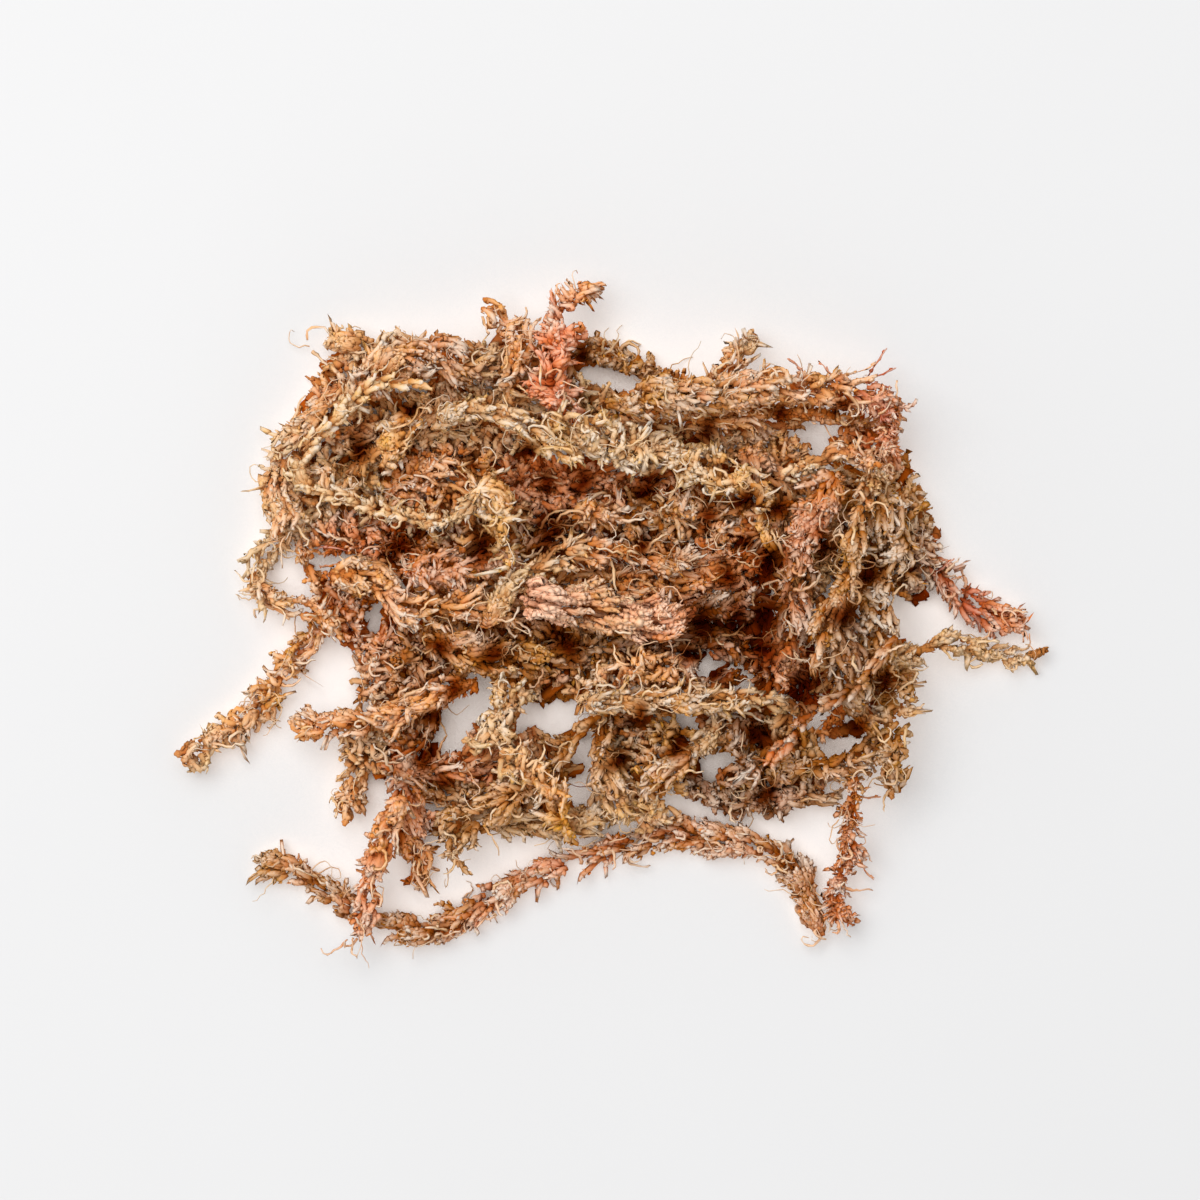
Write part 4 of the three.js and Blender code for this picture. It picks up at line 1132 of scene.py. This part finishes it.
def moss_piece(name, parts, material):
    """One strand's leaves as a mesh, with its colours. How far up they face joins their own draw, for a
    painted highlight.
    """
    offsets = np.cumsum([0] + [len(p[0]) for p in parts[:-1]])
    corners = above_floor(np.concatenate([p[0] for p in parts]))
    open_here, open_above = openness(corners)
    corners = corners * MM
    faces = np.concatenate([p[1] + o for p, o in zip(parts, offsets)])
    mesh = bpy.data.meshes.new(name)
    mesh.vertices.add(len(corners))
    mesh.vertices.foreach_set("co", corners.astype(np.float32).ravel())
    mesh.loops.add(faces.size)
    mesh.loops.foreach_set("vertex_index", faces.astype(np.int32).ravel())
    mesh.polygons.add(len(faces))
    mesh.polygons.foreach_set("loop_start", np.arange(0, faces.size, 3, dtype=np.int32))
    mesh.update(calc_edges=True)
    for key, column in (("grown", 2), ("tone", 3), ("lie", 4)):
        attribute = mesh.color_attributes.new(key, "FLOAT_COLOR", "POINT")
        values = np.concatenate([p[column] for p in parts])
        if key == "grown":
            # Painted shade: the out share is darkened by how open each corner lies. Painted highlight: the
            # fourth share is how far up each corner faces.
            facing = np.zeros(len(corners) * 3, np.float32)
            mesh.vertex_normals.foreach_get("vector", facing)
            values[:, 2] *= open_here
            values[:, 3] = np.clip(0.5 + 0.5 * facing[2::3] + (values[:, 3] - 0.5) * 0.1, 0, 1)
        # The tone's fourth share says how far a corner lies from a hollow's middle, for the painted shade
        # there.
        if key == "tone":
            values[:, 3] = open_above
        attribute.data.foreach_set("color", values.astype(np.float32).ravel())
    mesh.validate()
    mesh.polygons.foreach_set("use_smooth", np.ones(len(mesh.polygons), dtype=bool))
    mesh.materials.append(material)
    piece = bpy.data.objects.new(name, mesh)
    bpy.context.scene.collection.objects.link(piece)
    return piece


heights = np.zeros(MAP_SIZE)
for i in range(MAP_SIZE[0]):
    for j in range(MAP_SIZE[1]):
        top = heap_tree.ray_cast(Vector((MAP_LEFT + i, MAP_LOWER + j, ABOVE_ALL)), Vector((0, 0, -1)))[0]
        heights[i, j] = top.z if top else 0
for _ in range(DEPTH_REACH):
    heights = np.maximum(heights, np.max(four_sides(heights), axis=0))
for _ in range(3):
    heights = (heights + sum(four_sides(heights))) / 5

# The tops of the branches, cell by cell, below which the crevices between them darken
tops = np.zeros(COARSE[1])
for groups in laid:
    for paths, kinds, *_ in groups:
        if kinds and kinds[0] not in ("thread", "hair"):
            finer = with_halfways(paths)
            np.maximum.at(tops, cells_under(finer), finer[..., 2].ravel() + 0.5)
tops = np.maximum(tops, np.max(four_sides(tops), axis=0) - 0.2)
tops = (tops * 2 + sum(four_sides(tops))) / 6

slots = {part["node"]: part["material_slot"] for part in frame["record"]["subparts"]}

for short, node, parts in zip(names, shape_of, clothes):
    strand = moss_piece("moss_" + short, parts, MATERIALS[slots[node]])
    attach(strand, "root")
    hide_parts(node)


# --- The table ------------------------------------------------------------------------------------
# A plain white table top, a little warm, under soft studio light. Beside and below the moss it has a painted
# warm glow that stands in for the light the thin dry leaves let through, and deep under the moss it is
# painted dark brown as shade.
TABLE_WHITES = (0.561, 0.567, 0.577, 1), (0.576, 0.582, 0.594, 1)
PAINTED_GLOW_BESIDE_MOSS = (0.58, 0.48, 0.41, 1)
PAINTED_SHADE_UNDER_MOSS = (0.20, 0.10, 0.04, 1)
LIGHT_REACH = 0.06
deselect()
bpy.ops.mesh.primitive_plane_add(size=3, location=ORIGIN)
table = bpy.context.object
table.name = "table_top"
finish = Finish("table_white")
place = finish.node("ShaderNodeTexCoord", output=3)
white = finish.mixed(finish.noise(place, 9.0, 3.0), *TABLE_WHITES)
hidden = 1.0 - finish.node("ShaderNodeAmbientOcclusion", {"samples": 6}, output=1, Distance=LIGHT_REACH)
# Painted shade: deep under the moss the table is darkened towards brown.
white = finish.mixed(((hidden - 0.82) * 8.0).clamped(), white, PAINTED_SHADE_UNDER_MOSS)
# Painted glow: near and below the moss the table gives off warm light of its own.
lit = ((hidden - 0.18) * 2.8).clamped() * ((0.95 - hidden) * 5.0).clamped() * 0.68
glow = finish.mixed(lit, (0, 0, 0, 1), PAINTED_GLOW_BESIDE_MOSS)
surface = finish.node(
    "ShaderNodeBsdfPrincipled", Base_Color=white, Roughness=0.8, Emission_Color=glow, Emission_Strength=1.0
)
table.data.materials.append(finish.node("ShaderNodeOutputMaterial", i0=surface))


# --- Light and camera -----------------------------------------------------------------------------
# A large soft light stands at the upper left of a bright room, and hardly shades the moss. The camera looks
# straight down on its middle.
VIEW_CENTRE = (-0.00326, 0.00267)
VIEW_WIDTH = 0.24
CAMERA_HEIGHT = 1.0
MOSS_MIDDLE = 0.012
FILM_WIDTH = 36

world = bpy.data.worlds.new("studio")
world.use_nodes = True
room = world.node_tree.nodes["Background"].inputs
room[0].default_value = (1.0, 0.995, 0.99, 1)
room[1].default_value = 0.71
bpy.context.scene.world = world

light = bpy.data.lights.new("window", "AREA")
light.size = 1.5
light.energy = 29.5
light.color = (1.0, 0.985, 0.965)
window = bpy.data.objects.new("window", light)
window.location = (-0.42, 0.42, 1.5)
window.rotation_euler = (-window.location).to_track_quat("-Z", "Y").to_euler()
bpy.context.scene.collection.objects.link(window)

camera_data = bpy.data.cameras.new("camera")
camera_data.sensor_width = FILM_WIDTH
camera_data.lens = FILM_WIDTH * CAMERA_HEIGHT / VIEW_WIDTH
camera_data.dof.use_dof = False
camera = bpy.data.objects.new("camera", camera_data)
camera.location = (*VIEW_CENTRE, CAMERA_HEIGHT + MOSS_MIDDLE)
bpy.context.scene.collection.objects.link(camera)
bpy.context.scene.camera = camera
bpy.context.scene.view_settings.view_transform = "Standard"
